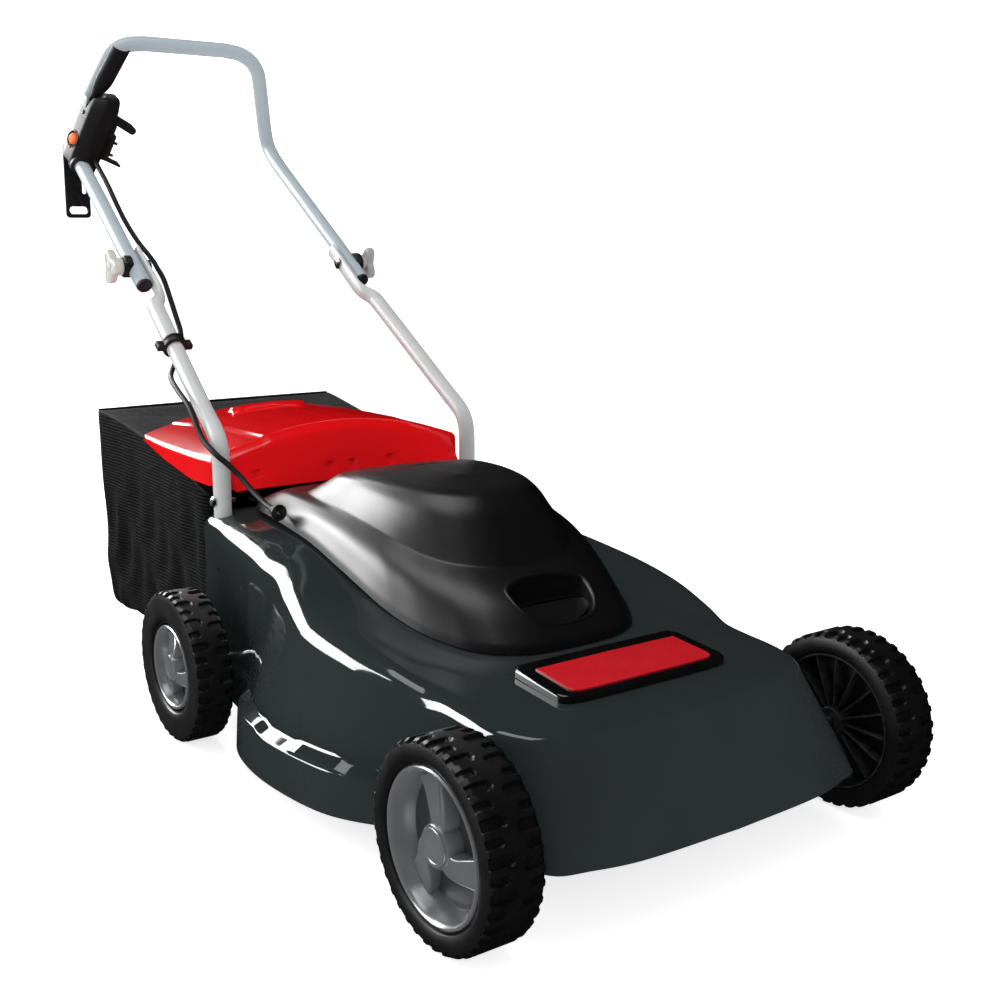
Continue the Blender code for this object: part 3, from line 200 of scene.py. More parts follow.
def make_looks():
    enamel = Finish("deck_paint", (0.024, 0.0295, 0.0295), 0.07, specular=0.6)
    enamel.mottle(6.0, 0.1).patina(25.0, 0.03)
    enamel.relief(enamel.noise(85.0, 1.0), 0.035, 0.0008)
    cover = plastic("cover_plastic", (0.0046, 0.0046, 0.005), 0.36, 1300.0, 0.12, scale=10.0,
                    amount=0.03, spread=0.01)
    cover.relief(cover.noise(5.0, 1.0), 0.05, 0.004)
    # Its paler edges are partly scuffing, partly painted highlight.
    plastic("black_plastic", (0.0068, 0.0068, 0.0072), 0.5, 1100.0, 0.18,
            scuff_and_highlight=(0.022, 0.022, 0.023), specular=0.32)
    plastic("flap_red", (0.7, 0.0035, 0.006), 0.16, 260.0, 0.01, scale=8.0, amount=0.04,
            specular=0.36, spread=0.01)
    plastic("badge_red", (0.56, 0.009, 0.016), 0.26, 700.0, 0.05, scale=20.0, amount=0.05)
    plastic("badge_black", (0.004, 0.004, 0.0044), 0.1, 300.0, 0.02, scale=20.0)
    plastic("button_orange", (0.8, 0.11, 0.01), 0.6, 800.0, 0.1, specular=0.15)
    plastic("knob_white", (0.5, 0.49, 0.45), 0.42, 900.0, 0.12, scale=60.0, amount=0.05)
    plastic("knob_grey", (0.33, 0.335, 0.325), 0.42, 900.0, 0.12, scale=60.0)
    rim = plastic("rim_grey", (0.21, 0.214, 0.222), 0.25, 1000.0, 0.1, scale=25.0, amount=0.04,
                  spread=0.01)
    rim.shader.inputs["Metallic"].default_value = 0.5
    # Darker grey for the floor between the spokes: painted shade of the rim's deep windows.
    plastic("rim_painted_shade", (0.035, 0.036, 0.038), 0.34, 1000.0, 0.1, scale=25.0)
    # The paler edges of the tread's slots are partly scuffing, partly painted highlight.
    tyre = plastic("tyre_rubber", (0.0042, 0.0042, 0.0046), 0.42, 700.0, 0.22,
                   scuff_and_highlight=(0.02, 0.02, 0.021), scale=40.0, amount=0.2)
    tyre.relief(tyre.noise(90.0, 5.0), 0.1, 0.0006)
    metal("tube_silver", (0.48, 0.49, 0.49), 0.44, 0.0, (0.2, 0.2, 1.0), 0.03, tone=0.02,
          spread=0.02)
    metal("tube_blue_grey", (0.34, 0.4, 0.43), 0.44, 0.0, (0.2, 0.2, 1.0), 0.03, tone=0.02,
          spread=0.02)
    metal("steel", (0.5, 0.5, 0.5), 0.28, 1.0, (1.0, 4.0, 4.0), 0.18)
    metal("aluminium", (0.56, 0.565, 0.575), 0.38, 1.0, (1.0, 1.0, 1.0), 0.2)
    metal("brass", (0.62, 0.48, 0.23), 0.26, 1.0, (1.0, 1.0, 3.0), 0.12)
    sheets = metal("lamination", (0.25, 0.24, 0.23), 0.45, 0.8, (1.0, 1.0, 1.0), 0.15)
    sheets.relief(sheets.bands(0.001, "Z"), 0.6, 0.0005)
    cable = plastic("cable_black", (0.0045, 0.0045, 0.0048), 0.55, 500.0, 0.12, scale=30.0,
                    specular=0.25)
    cable.relief(cable.noise(60.0, 2.0), 0.1, 0.0008)
    make_fabrics()


def make_fabrics():
    """Ribbed netting of the bag's sides, and the fine plain weave of its top."""
    ribbed = Finish("fabric_ribbed", (0.0022, 0.0028, 0.0026), 0.88, specular=0.05)
    ribbed.shader.inputs["Sheen Weight"].default_value = 0.008
    ribbed.shader.inputs["Sheen Roughness"].default_value = 0.4
    ribbed.mottle(22.0, 0.25).patina(120.0, 0.1)
    ribs = ribbed.bands(0.0046, "Z", 0.4)
    ribbed.relief(ribs, 0.85, 0.0016)
    ribbed.relief(ribbed.noise(1100.0, 2.0), 0.35, 0.0006)
    gap = ribbed.mixed(ribs, (0.0014, 0.0016, 0.0016), ribbed.colour)
    ribbed.join(ribbed.base.outputs[2], gap.inputs[7])
    ribbed.join(gap.outputs[2], ribbed.shader.inputs["Base Color"])
    woven = Finish("fabric_black", (0.004, 0.005, 0.0048), 0.8, specular=0.1)
    woven.shader.inputs["Sheen Weight"].default_value = 0.02
    woven.shader.inputs["Sheen Roughness"].default_value = 0.4
    woven.mottle(16.0, 0.22).patina(90.0, 0.1)
    woven.relief(woven.bands(0.0015, "X"), 0.45, 0.0005)
    woven.relief(woven.bands(0.0015, "Y"), 0.45, 0.0005)
    woven.relief(woven.noise(26.0, 4.0), 0.35, 0.004)


# ---------------------------------------------------------------- curves and outlines
def smooth_path(points, per_span):
    """Points of a Catmull-Rom curve through points, per_span of them for each span."""
    pts = [Vector(p) for p in points]
    ends = [pts[0] * 2 - pts[1], *pts, pts[-1] * 2 - pts[-2]]
    path = []
    for i in range(len(pts) - 1):
        p0, p1, p2, p3 = ends[i:i + 4]
        for k in range(per_span):
            t = k / per_span
            path.append(0.5 * (2 * p1 + (p2 - p0) * t + (2 * p0 - 5 * p1 + 4 * p2 - p3) * t * t
                               + (3 * p1 - p0 - 3 * p2 + p3) * t ** 3))
    path.append(pts[-1])
    return path


def rounded_line(points, radii, arc=4, straight=2):
    """A line through points whose corners are rounded; every call with as many points matches."""
    pts = [Vector(p) for p in points]
    line = [pts[0]]
    last = pts[0]
    for before, here, after, radius in zip(pts, pts[1:], pts[2:], radii):
        back, ahead = before - here, after - here
        reach = min(radius, 0.48 * back.length, 0.48 * ahead.length)
        start = here + back.normalized() * reach
        end = here + ahead.normalized() * reach
        line += [last.lerp(start, k / straight) for k in range(1, straight)]
        for k in range(arc + 1):
            t = k / arc
            line.append(start * (1 - t) ** 2 + here * 2 * t * (1 - t) + end * t * t)
        last = end
    line += [last.lerp(pts[-1], k / straight) for k in range(1, straight + 1)]
    return line


def smoothstep(value, low, high):
    """From 0 at low to 1 at high, level at both ends."""
    t = min(max((value - low) / (high - low), 0.0), 1.0)
    return t * t * (3 - 2 * t)


def rounded_slot(width, height, centre=(0.0, 0.0), corner=None, steps=6):
    """A rectangle with round corners; without a corner radius its ends are half circles."""
    corner = min(width, height) / 2 - 1e-5 if corner is None else corner
    pts = []
    for k, (sx, sy) in enumerate(((1, 1), (-1, 1), (-1, -1), (1, -1))):
        cx = centre[0] + sx * (width / 2 - corner)
        cy = centre[1] + sy * (height / 2 - corner)
        for j in range(steps + 1):
            a = math.pi / 2 * (k + j / steps)
            pts.append((cx + corner * math.cos(a), cy + corner * math.sin(a)))
    return pts


def inset(outline, distance):
    """A counter-clockwise outline moved inwards by distance."""
    pts = [Vector((x, y)) for x, y in outline]
    moved = []
    for k, here in enumerate(pts):
        into = (here - pts[k - 1]).normalized()
        out = (pts[(k + 1) % len(pts)] - here).normalized()
        first, second = Vector((-into.y, into.x)), Vector((-out.y, out.x))
        mitre = (first + second) / max(1 + first.dot(second), 0.35)
        moved.append(here + mitre * distance)
    return moved


def mirrored_outline(half):
    """A closed outline from its right half, whose first and last points lie on the middle line."""
    return half + [(-x, y) for x, y in reversed(half[1:-1])]


def both_sides(row):
    """The row of points with its mirror image at X = 0, from left to right."""
    return [Vector((-p.x, p.y, p.z)) for p in reversed(row[1:])] + row


def polar(radius, angle, height=0.0):
    return Vector((radius * math.cos(angle), radius * math.sin(angle), height))


def plug(radius, low, high):
    """Profile of a plain round bar, as a hole's cutter."""
    return [(0, low), (radius, low), (radius, high), (0, high)]


def frame_of(x_axis, y_axis):
    """The turn that takes X to the first axis and Y as near as it can to the second."""
    first = Vector(x_axis).normalized()
    third = first.cross(Vector(y_axis)).normalized()
    return Matrix((first, third.cross(first), third)).transposed()


def axis_turn(axis):
    """The turn that takes Z to the axis."""
    return Vector(axis).to_track_quat("Z", "X").to_matrix()


XY = Matrix.Identity(3)
XZ = frame_of((1, 0, 0), (0, 0, 1))


# ---------------------------------------------------------------- meshes
WELD = 2e-5


def skin(bm, rows, around=False, caps=(False, False)):
    """Faces between rows of points; around joins each row's ends, caps close the outer rows."""
    grid = [[bm.verts.new(p) for p in row] for row in rows]
    for low, high in zip(grid[:-1], grid[1:]):
        for k in range(len(low) if around else len(low) - 1):
            after = (k + 1) % len(low)
            bm.faces.new((low[k], low[after], high[after], high[k]))
    if caps[0]:
        bm.faces.new(reversed(grid[0]))
    if caps[1]:
        bm.faces.new(grid[-1])
    return grid


def slab(bm, outline, levels, turn=XY, centre=(0, 0, 0)):
    """A solid on the outline whose edge follows levels of (inset, height)."""
    rows = []
    for step, height in levels:
        ring = inset(outline, step) if step else [Vector(p) for p in outline]
        rows.append([Vector(centre) + turn @ Vector((p[0], p[1], height)) for p in ring])
    skin(bm, rows, around=True, caps=(True, True))


def revolve(bm, profile, centre, axis=(0, 0, 1), steps=48):
    """A turned solid from (radius, height) points; open ends off the axis are joined."""
    turn = axis_turn(axis)
    closed = profile[0][0] > 1e-6 or profile[-1][0] > 1e-6
    ring = list(profile) + ([profile[0]] if closed else [])
    rows = []
    for r, h in ring:
        rows.append([Vector(centre) + turn @ polar(r, 2 * math.pi * k / steps, h)
                     for k in range(steps)])
    skin(bm, rows, around=True)


def sweep(bm, path, radius, sides=20, caps=True):
    """A round bar along a path."""
    pts = [Vector(p) for p in path]
    last = len(pts) - 1
    side = (pts[1] - pts[0]).normalized().orthogonal().normalized()
    rows = []
    for k, here in enumerate(pts):
        tangent = (pts[min(k + 1, last)] - pts[max(k - 1, 0)]).normalized()
        side = (side - tangent * side.dot(tangent)).normalized()
        other = tangent.cross(side)
        rows.append([here + (side * math.cos(2 * math.pi * j / sides)
                             + other * math.sin(2 * math.pi * j / sides)) * radius
                     for j in range(sides)])
    skin(bm, rows, around=True, caps=(caps, caps))


def made(name, bm, look, sharp=40.0):
    """An object from the bmesh, smooth but for its sharp edges."""
    bmesh.ops.remove_doubles(bm, verts=bm.verts, dist=WELD)
    bmesh.ops.recalc_face_normals(bm, faces=bm.faces)
    mesh = bpy.data.meshes.new(name)
    bm.to_mesh(mesh)
    bm.free()
    obj = bpy.data.objects.new(name, mesh)
    bpy.context.scene.collection.objects.link(obj)
    mesh.materials.append(LOOKS[look])
    mesh.shade_smooth()
    mesh.set_sharp_from_angle(angle=math.radians(sharp))
    return obj


def mirrored(bm):
    """Adds the mirror image at X = 0 of a right half."""
    for vert in bm.verts:
        if abs(vert.co.x) < 1e-5:
            vert.co.x = 0.0
    half = list(bm.verts) + list(bm.edges) + list(bm.faces)
    copy = bmesh.ops.duplicate(bm, geom=half)["geom"]
    twins = [g for g in copy if isinstance(g, bmesh.types.BMVert)]
    for vert in twins:
        vert.co.x = -vert.co.x
    faces = [g for g in copy if isinstance(g, bmesh.types.BMFace)]
    bmesh.ops.reverse_faces(bm, faces=faces)


def bake(obj, sharp=40.0):
    """Applies the object's modifiers to its mesh."""
    bpy.context.view_layer.update()
    shape = obj.evaluated_get(bpy.context.evaluated_depsgraph_get())
    mesh = bpy.data.meshes.new_from_object(shape)
    mesh.name = obj.name
    obj.modifiers.clear()
    obj.data = mesh
    mesh.shade_smooth()
    mesh.set_sharp_from_angle(angle=math.radians(sharp))
    return obj


def thicken(obj, thickness, offset=-1.0, sharp=40.0):
    """Gives a sheet its wall, inwards at offset -1 and outwards at 1."""
    solid = obj.modifiers.new("wall", "SOLIDIFY")
    solid.thickness = thickness
    solid.offset = offset
    return bake(obj, sharp)


def soften(obj, width, angle, sharp=40.0):
    """Rounds the edges that turn by more than the angle."""
    bevel = obj.modifiers.new("round", "BEVEL")
    bevel.width = width
    bevel.segments = 2
    bevel.limit_method = "ANGLE"
    bevel.angle_limit = math.radians(angle)
    return bake(obj, sharp)


def carve(obj, cutter, sharp=40.0):
    """Cuts the cutter's shape out of obj and removes the cutter."""
    boolean = obj.modifiers.new("cut", "BOOLEAN")
    boolean.operation = "DIFFERENCE"
    boolean.object = cutter
    boolean.solver = "EXACT"
    bake(obj, sharp)
    bpy.data.objects.remove(cutter, do_unlink=True)
    return obj


def settle(obj, body, nodes=()):
    """Takes obj to the row frame, stands it in for the nodes and lets it ride on the body."""
    obj.data.transform(Matrix.Translation(SHIFT))
    if nodes:
        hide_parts(*nodes)
    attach(obj, body)
    return obj


# ---------------------------------------------------------------- deck
DECK_RINGS = (
    [(0, -.09, .07), (.105, -.086, .07), (.16, -.075, .07), (.199, -.055, .069),
     (.208, .02, .064), (.211, .1, .05), (.236, .158, .039), (.266, .225, .035),
     (.28, .32, .035), (.273, .4, .035), (.25, .455, .035), (.22, .497, .037),
     (.208, .6, .04), (.196, .657, .04), (.1, .662, .04), (0, .662, .04)],
    [(0, -.086, .078), (.105, -.082, .078), (.159, -.071, .078), (.197, -.05, .078),
     (.207, .022, .078), (.21, .1, .078), (.235, .158, .08), (.264, .226, .081),
     (.278, .32, .081), (.271, .399, .081), (.248, .453, .081), (.219, .496, .081),
     (.208, .6, .081), (.196, .657, .081), (.1, .662, .081), (0, .662, .081)],
    [(0, -.078, .092), (.105, -.074, .092), (.158, -.063, .092), (.195, -.042, .092),
     (.206, .025, .092), (.209, .103, .092), (.222, .165, .089), (.249, .232, .088),
     (.262, .32, .088), (.255, .394, .088), (.235, .446, .088), (.214, .493, .09),
     (.207, .6, .092), (.195, .656, .092), (.1, .661, .092), (0, .661, .092)],
    [(0, -.034, .1655), (.097, -.026, .1655), (.15, -.015, .1655),
     (.178, .001, .1655), (.2, .044, .166), (.205, .115, .17), (.219, .17, .182),
     (.234, .235, .192), (.24, .31, .201), (.225, .385, .214), (.209, .45, .223),
     (.207, .5, .23), (.204, .6, .243), (.193, .65, .247), (.1, .656, .25),
     (0, .656, .25)],
    [(0, -.026, .17), (.096, -.018, .17), (.146, -.008, .17), (.172, .006, .17),
     (.193, .048, .172), (.198, .118, .177), (.211, .172, .189), (.225, .236, .2),
     (.231, .31, .209), (.216, .383, .222), (.201, .448, .231), (.199, .5, .238),
     (.196, .598, .25), (.187, .643, .253), (.098, .649, .256), (0, .649, .256)],
    [(0, .155, .1815), (.045, .158, .1815), (.078, .169, .1825), (.1, .19, .184),
     (.113, .213, .187), (.125, .24, .192), (.134, .266, .199), (.141, .293, .207),
     (.146, .325, .218), (.149, .372, .231), (.149, .43, .245), (.149, .49, .254),
     (.149, .56, .259), (.143, .615, .261), (.08, .622, .262), (0, .622, .262)])


def brow_radius(y):
    """The deck's brow is tight across the front, broad along the sides and medium at the rear."""
    return 0.0055 + 0.0225 * smoothstep(y, 0.0, 0.07) - 0.01 * smoothstep(y, 0.56, 0.63)


def deck_shape(point):
    """Pressings in the deck: the set-in rear panel and the shelf's embosses."""
    x, y, z = point
    if 0.1 < z < 0.232 and x > 0.195:
        depth = smoothstep(y, 0.512, 0.519) * (1 - smoothstep(y, 0.64, 0.65))
        depth *= smoothstep(z, 0.1, 0.108) * (1 - smoothstep(z, 0.214, 0.226))
        x -= 0.0035 * depth
    if 0.0815 < z < 0.0905 and x > 0.215:
        for low, high in ((0.205, 0.29), (0.345, 0.435)):
            z += 0.003 * smoothstep(y, low, low + 0.008) * (1 - smoothstep(y, high - 0.008, high))
    return Vector((x, y, z))


SEAT_R, SEAT_BORE, SEAT_Z = 0.092, 0.04, 0.197
AXLE_HOLE = 0.0067
SCREW_HOLE = 0.0032


def deck_lines():
    """Lines from the deck's lip up over its brow to the rim round the motor."""
    lines = []
    for low, mid, shelf, shoulder, brow, rim in zip(*(smooth_path(r, 9) for r in DECK_RINGS)):
        rise = (brow.z - shoulder.z) / (shoulder.z - shelf.z)
        corner = shoulder + (shoulder - shelf) * rise
        radii = (0.0035, 0.004, brow_radius(corner.y))
        lines.append(rounded_line((low, mid, shelf, corner, rim), radii, 8, 7))
    return lines


def seat_ring(radius, count):
    """Half circle round the spindle, at the height of the motor's seat."""
    ring = []
    for k in range(count):
        a = math.pi * (k / (count - 1) - 0.5)
        ring.append(Vector((radius * math.cos(a), SPINDLE_Y + radius * math.sin(a), SEAT_Z)))
    return ring


def motor_seat(rim):
    """Rows from the rim down to the flat seat of the motor and in to its bore."""
    rows = []
    for share in (0.0, 0.12, 0.5, 1.0):
        row = []
        for p, seat in zip(rim, seat_ring(SEAT_R, len(rim))):
            q = p.lerp(seat, share)
            q.z = p.z + (SEAT_Z - p.z) * min(share * 1.6, 1.0)
            row.append(q)
        rows.append(row)
    return rows + [seat_ring(SEAT_BORE, len(rim))]


def deck_cutter():
    """The chute's opening in the rear wall, and the holes for tubes, axles and a side screw."""
    bm = bmesh.new()
    slab(bm, rounded_slot(0.25, 0.15, corner=0.02), ((0, -0.03), (0, 0.03)), XZ,
         (0, 0.668, 0.15))
    for side in (-1, 1):
        revolve(bm, plug(TUBE_R + 0.0008, 0.236, 0.29), (side * FOOT_X, FOOT_Y, 0), steps=24)
        for y, z in ((0.0, FRONT_R), (REAR_AXLE_Y, REAR_R)):
            revolve(bm, plug(AXLE_HOLE, 0.19, 0.23), (0, y, z), (side, 0, 0), 24)
        revolve(bm, plug(SCREW_HOLE, 0.19, 0.225), (0, 0.602, 0.192), (side, 0, 0), 16)
    return made("cutter", bm, "deck_paint")


def make_deck():
    """One steel shell: the right half is made, mirrored, given its wall and cut."""
    lines = deck_lines()
    bm = bmesh.new()
    skin(bm, [[deck_shape(p) for p in row] for row in zip(*lines)])
    skin(bm, motor_seat([line[-1] for line in lines]))
    mirrored(bm)
    deck = thicken(made("deck_shell", bm, "deck_paint", 32.0), STEEL_WALL, sharp=32.0)
    carve(deck, deck_cutter(), 32.0)
    settle(deck, "chassis", ["deck"])


# ---------------------------------------------------------------- motor cover
def cover_rings():
    """Rings of points round the hood's right half, from its foot up to the top's ridge."""
    foot = [(0, .146, .183), (.05, .149, .1832), (.085, .163, .184), (.108, .187, .1858),
            (.122, .213, .189), (.134, .242, .1945), (.142, .27, .202), (.149, .3, .212),
            (.154, .335, .225), (.156, .385, .239), (.156, .45, .2535), (.156, .53, .2625),
            (.154, .585, .266), (.14, .603, .2665), (.08, .606, .267), (0, .606, .267)]
    hem = [(x * 0.985, y + 0.003 * (1 - k / 8), z + 0.0075) for k, (x, y, z) in enumerate(foot)]
    crease = [(0, .235, .25), (.035, .238, .251), (.062, .25, .254), (.083, .268, .257),
              (.098, .29, .262), (.108, .31, .268), (.114, .33, .274), (.118, .355, .28),
              (.121, .385, .285), (.122, .42, .289), (.122, .46, .291), (.12, .5, .292),
              (.113, .53, .292), (.09, .548, .292), (.05, .554, .292), (0, .556, .292)]
    edge = [(0, .293, .3205), (.028, .296, .3205), (.05, .308, .321), (.066, .325, .3215),
            (.076, .345, .322), (.083, .37, .3225), (.087, .395, .323), (.089, .42, .323),
            (.089, .445, .3225), (.087, .468, .321), (.081, .488, .319), (.07, .501, .317),
            (.055, .508, .316), (.037, .512, .315), (.018, .514, .315), (0, .515, .315)]
    hood, wall = [], []
    for k, (low, high) in enumerate(zip(hem, crease)):
        mid = (Vector(low) + Vector(high)) / 2
        hood.append(mid + Vector((0.006 * min(k, 15 - k) / 8, -0.006 if k < 8 else 0.003, 0.008)))
    for low, high in zip(crease, edge):
        wall.append(Vector(low).lerp(Vector(high), 0.68) + Vector((0, 0, 0.0075)))
    middle = Vector((0, 0.41, 0.326))
    rim = [Vector(p).lerp(middle, 0.12) + Vector((0, 0, 0.0025)) for p in edge]
    inner = [Vector(p).lerp(middle, 0.55) + Vector((0, 0, 0.004)) for p in edge]
    ridge = [(0, 0.41 + (p[1] - 0.41) * 0.35, 0.329) for p in edge]
    return foot, hem, hood, crease, wall, edge, rim, inner, ridge


COVER_ROUNDING = (0.005, 0.04, 0.0025, 0.026, 0.006, 0.015, 0.03)
INTAKE_TURN = Matrix.Rotation(math.radians(35.0), 3, "X")
INTAKE_CENTRE = Vector((0, 0.195, 0.2225))
INTAKE_HALF = ((0.0, 0.0325), (0.02, 0.031), (0.036, 0.0265), (0.0475, 0.0205),
               (0.0515, 0.012), (0.0495, -0.007), (0.043, -0.021), (0.034, -0.03),
               (0.018, -0.035), (0.0, -0.036))


def intake_outline():
    """The intake's rounded trapezoid, counter-clockwise, in the slope's plane."""
    right = smooth_path([(x, y, 0) for x, y in reversed(INTAKE_HALF)], 4)
    return mirrored_outline([(p.x, p.y) for p in right])


def in_intake(u, v, out):
    """A point across, up and out of the intake's sloping plane."""
    return INTAKE_CENTRE + INTAKE_TURN @ Vector((u, v, out))


def make_cover():
    """Moulded hood with the intake cut out of its front and four vent slots in its top."""
    rings = [smooth_path(ring, 8) for ring in cover_rings()]
    lines = [rounded_line(column, COVER_ROUNDING, 5, 3) for column in zip(*rings)]
    bm = bmesh.new()
    skin(bm, list(zip(*lines)))
    mirrored(bm)
    cover = thicken(made("motor_hood", bm, "cover_plastic", 34.0), PLASTIC_WALL, sharp=34.0)
    outline = intake_outline()
    surface = cover.data.copy()
    bm = bmesh.new()
    slab(bm, outline, ((0, -0.03), (0, 0.05)), INTAKE_TURN, INTAKE_CENTRE)
    carve(cover, made("cutter", bm, "cover_plastic"), 34.0)
    bm = bmesh.new()
    for k in range(4):
        slab(bm, rounded_slot(0.072, 0.0042), ((0, -0.02), (0, 0.02)), XY,
             (0, 0.446 + 0.012 * k, 0.32))
    carve(cover, made("cutter", bm, "cover_plastic"), 34.0)
    settle(cover, "chassis", ["motor_cover"])
    make_intake(surface, outline)


def make_intake(surface, outline):
    """Rolled rim laid on the cover's surface, with the scoop behind it and a ledge inside."""
    bm = bmesh.new()
    bm.from_mesh(surface)
    tree = BVHTree.FromBMesh(bm)
    bm.free()
    down = INTAKE_TURN @ Vector((0, 0, -1))

    def lie(ring, depth=0.0):
        points = []
        for u, v in ring:
            hit = tree.ray_cast(in_intake(u, v, 0.06), down)[0]
            points.append((hit or in_intake(u, v, 0)) + down * depth)
        return points

    bm = bmesh.new()
    rows = []
    for step, depth in ((-0.0046, 0.001), (-0.0036, -0.0002), (-0.002, -0.0007),
                        (-0.0004, -0.0005), (0.001, 0.0006), (0.0018, 0.003),
                        (0.0022, 0.008), (0.005, 0.017), (0.012, 0.026)):
        rows.append(lie(inset(outline, step), depth))
    skin(bm, rows, around=True, caps=(False, True))
    scoop = made("intake_scoop", bm, "cover_plastic", 50.0)
    settle(scoop, "chassis")
    make_intake_ledge()


def make_intake_ledge():
    """Bowed ledge across the intake's mouth, and the ramp that runs down from it."""
    half = 0.0475
    across = [half * (k / 12 - 1) for k in range(25)]
    ledge = [in_intake(u, 0.001 + 0.004 * (1 - (u / half) ** 2), 0.0) for u in across]
    bm = bmesh.new()
    rows = []
    for forward, drop in ((0.0, 0.0), (0.001, -0.0008), (0.0022, 0.0002), (0.0026, 0.008),
                          (0.0, 0.009)):
        rows.append([p + INTAKE_TURN @ Vector((0, -forward, -drop - 0.007)) for p in ledge])
    skin(bm, rows + [rows[0]])
    ramp = []
    for share in (0.0, 0.25, 0.5, 0.75, 1.0):
        row = []
        for p in ledge:
            u = (p - INTAKE_CENTRE).x
            low = -0.0335 * math.sqrt(max(1 - (u / 0.049) ** 2, 0.0)) * 0.97
            v = 0.0005 + (low - 0.0005) * share
            row.append(in_intake(u, v, -0.0078 + 0.0042 * share * share - 0.0004))
        ramp.append(row)
    skin(bm, ramp)
    settle(made("intake_ledge", bm, "cover_plastic", 45.0), "chassis")


def make_badge():
    """A plain bevelled plate with a coloured insert, on the deck's nose."""
    tilt = Matrix.Rotation(math.atan2(0.0095, 0.125), 3, "X")
    half = [(0.0, -0.056), (0.04, -0.0558), (0.085, -0.0545), (0.101, -0.0515),
            (0.107, -0.046), (0.109, -0.039), (0.1085, 0.025), (0.101, 0.0355),
            (0.0, 0.0358)]
    bm = bmesh.new()
    slab(bm, mirrored_outline(half),
         ((0, -0.006), (0, -0.0004), (0.0006, 0.0006), (0.002, 0.0017), (0.0032, 0.002),
          (0.005, 0.002)), tilt, (0, 0.088, 0.1834))
    settle(made("badge_base", bm, "badge_black", 25.0), "chassis", ["badge_plate"])
    half = [(0.0, -0.04), (0.06, -0.0398), (0.084, -0.0386), (0.0905, -0.0358),
            (0.0925, -0.0305), (0.0915, 0.0215), (0.0, 0.0222)]
    bm = bmesh.new()
    slab(bm, mirrored_outline(half),
         ((0, -0.002), (0, 0.0002), (0.0006, 0.0007), (0.0016, 0.0008)), tilt,
         (0, 0.081, 0.186))
    settle(made("badge_colour", bm, "badge_red", 25.0), "chassis", ["badge_insert"])


# ---------------------------------------------------------------- wheels
def slot_depth(angle, h, radius, half, pairs):
    """How deep the tread's slots are at a point, from 0 to 1: long and short in turn, each row."""
    share = (angle * pairs / (2 * math.pi) + (0.27 if h < 0 else 0.0)) % 1.0
    pitch = 2 * math.pi * radius / pairs
    depth = 0.0
    for middle, wide, tip in ((0.0, 0.0054, 0.13), (0.5, 0.004, 0.4), (1.0, 0.0054, 0.13)):
        beyond = max(tip * half + wide - abs(h), 0.0)
        away = math.hypot((share - middle) * pitch, beyond) - wide
        depth = max(depth, 1 - smoothstep(away, -0.0009, 0.0002))
    return depth


def make_tyre(tag, body, centre, side, radius, width, seat):
    """Tyre with a smooth centre band and two rows of round-ended slots that run out sideways."""
    half = width / 2
    groove = 0.0036
    pairs = 19 if radius == FRONT_R else 18
    steps = pairs * 28
    flank = [(seat, 0.84), (seat + 0.0014, 0.93), (seat + 0.0045, 0.985), (seat + 0.0085, 1.0),
             (radius * 0.9, 0.995), (radius * 0.938, 0.975), (radius * 0.952, 0.96)]
    tread = []
    count = 38
    for k in range(count + 1):
        h = 0.95 * (1 - 2 * k / count)
        tread.append((radius - 0.0024 * smoothstep(abs(h), 0.76, 0.97), h))
    profile = flank + tread + [(r, -h) for r, h in reversed(flank)]
    turn = axis_turn((side, 0, 0))
    rows = []
    for r, share in profile + [profile[0]]:
        h = share * half
        row = []
        for j in range(steps):
            a = 2 * math.pi * j / steps
            cut = groove * slot_depth(a, h, radius, half, pairs) if r > radius * 0.958 else 0.0
            row.append(Vector(centre) + turn @ polar(r - cut, a, h))
        rows.append(row)
    bm = bmesh.new()
    skin(bm, rows, around=True)
    settle(made(f"tread_{tag}", bm, "tyre_rubber", 33.0), body, [f"tyre_{tag}"])


def swirl(hub_r, reach, k):
    """Outline of one broad spoke that swirls from the hub to the barrel."""
    lead = [(hub_r * 0.75, -0.7), (hub_r * 1.25, -0.52), (hub_r * 1.9, -0.2),
            (reach * 0.8, 0.04), (reach, 0.12)]
    trail = [(reach, 0.66), (reach * 0.86, 0.66), (hub_r * 2.0, 0.58), (hub_r * 1.35, 0.46),
             (hub_r * 0.75, 0.5)]
    line = (smooth_path([polar(r, a) for r, a in lead], 5)
            + smooth_path([polar(r, a) for r, a in trail], 5))
    spin = Matrix.Rotation(2 * math.pi * k / 3, 3, "Z")
    return [tuple((spin @ p)[:2]) for p in line]


def front_rim_profile(half):
    """Hub, floor, barrel and rolled lip of a front rim that is half wide to each side."""
    return [(0.0069, 0.014), (0.0175, 0.0212), (0.0182, 0.0218), (0.019, 0.0218),
            (0.0199, 0.0208), (0.0203, 0.019), (0.0206, 0.005), (0.0222, 0.0034),
            (0.056, 0.002), (0.0592, 0.0032), (0.0606, 0.007), (0.065, 0.02),
            (0.066, half * 0.8), (0.0672, half * 0.89), (0.0686, half * 0.93),
            (0.07, half * 0.93), (0.0712, half * 0.88), (0.0716, half * 0.8),
            (0.069, half * 0.6), (0.066, 0.0), (0.06, -0.0095), (0.0069, -0.0095)]


def rear_rim_profile(half):
    """The same for a rear rim."""
    return [(0.0069, 0.012), (0.012, 0.0213), (0.0135, 0.0216), (0.0148, 0.021),
            (0.0157, 0.0195), (0.0161, 0.001), (0.0175, -0.0004), (0.04, -0.001),
            (0.0424, 0.0002), (0.0436, 0.004), (0.0462, half * 0.78),
            (0.0472, half * 0.88), (0.0484, half * 0.92), (0.0495, half * 0.92),
            (0.0508, half * 0.87), (0.0512, half * 0.78), (0.049, 0.005),
            (0.045, -0.005), (0.0069, -0.005)]


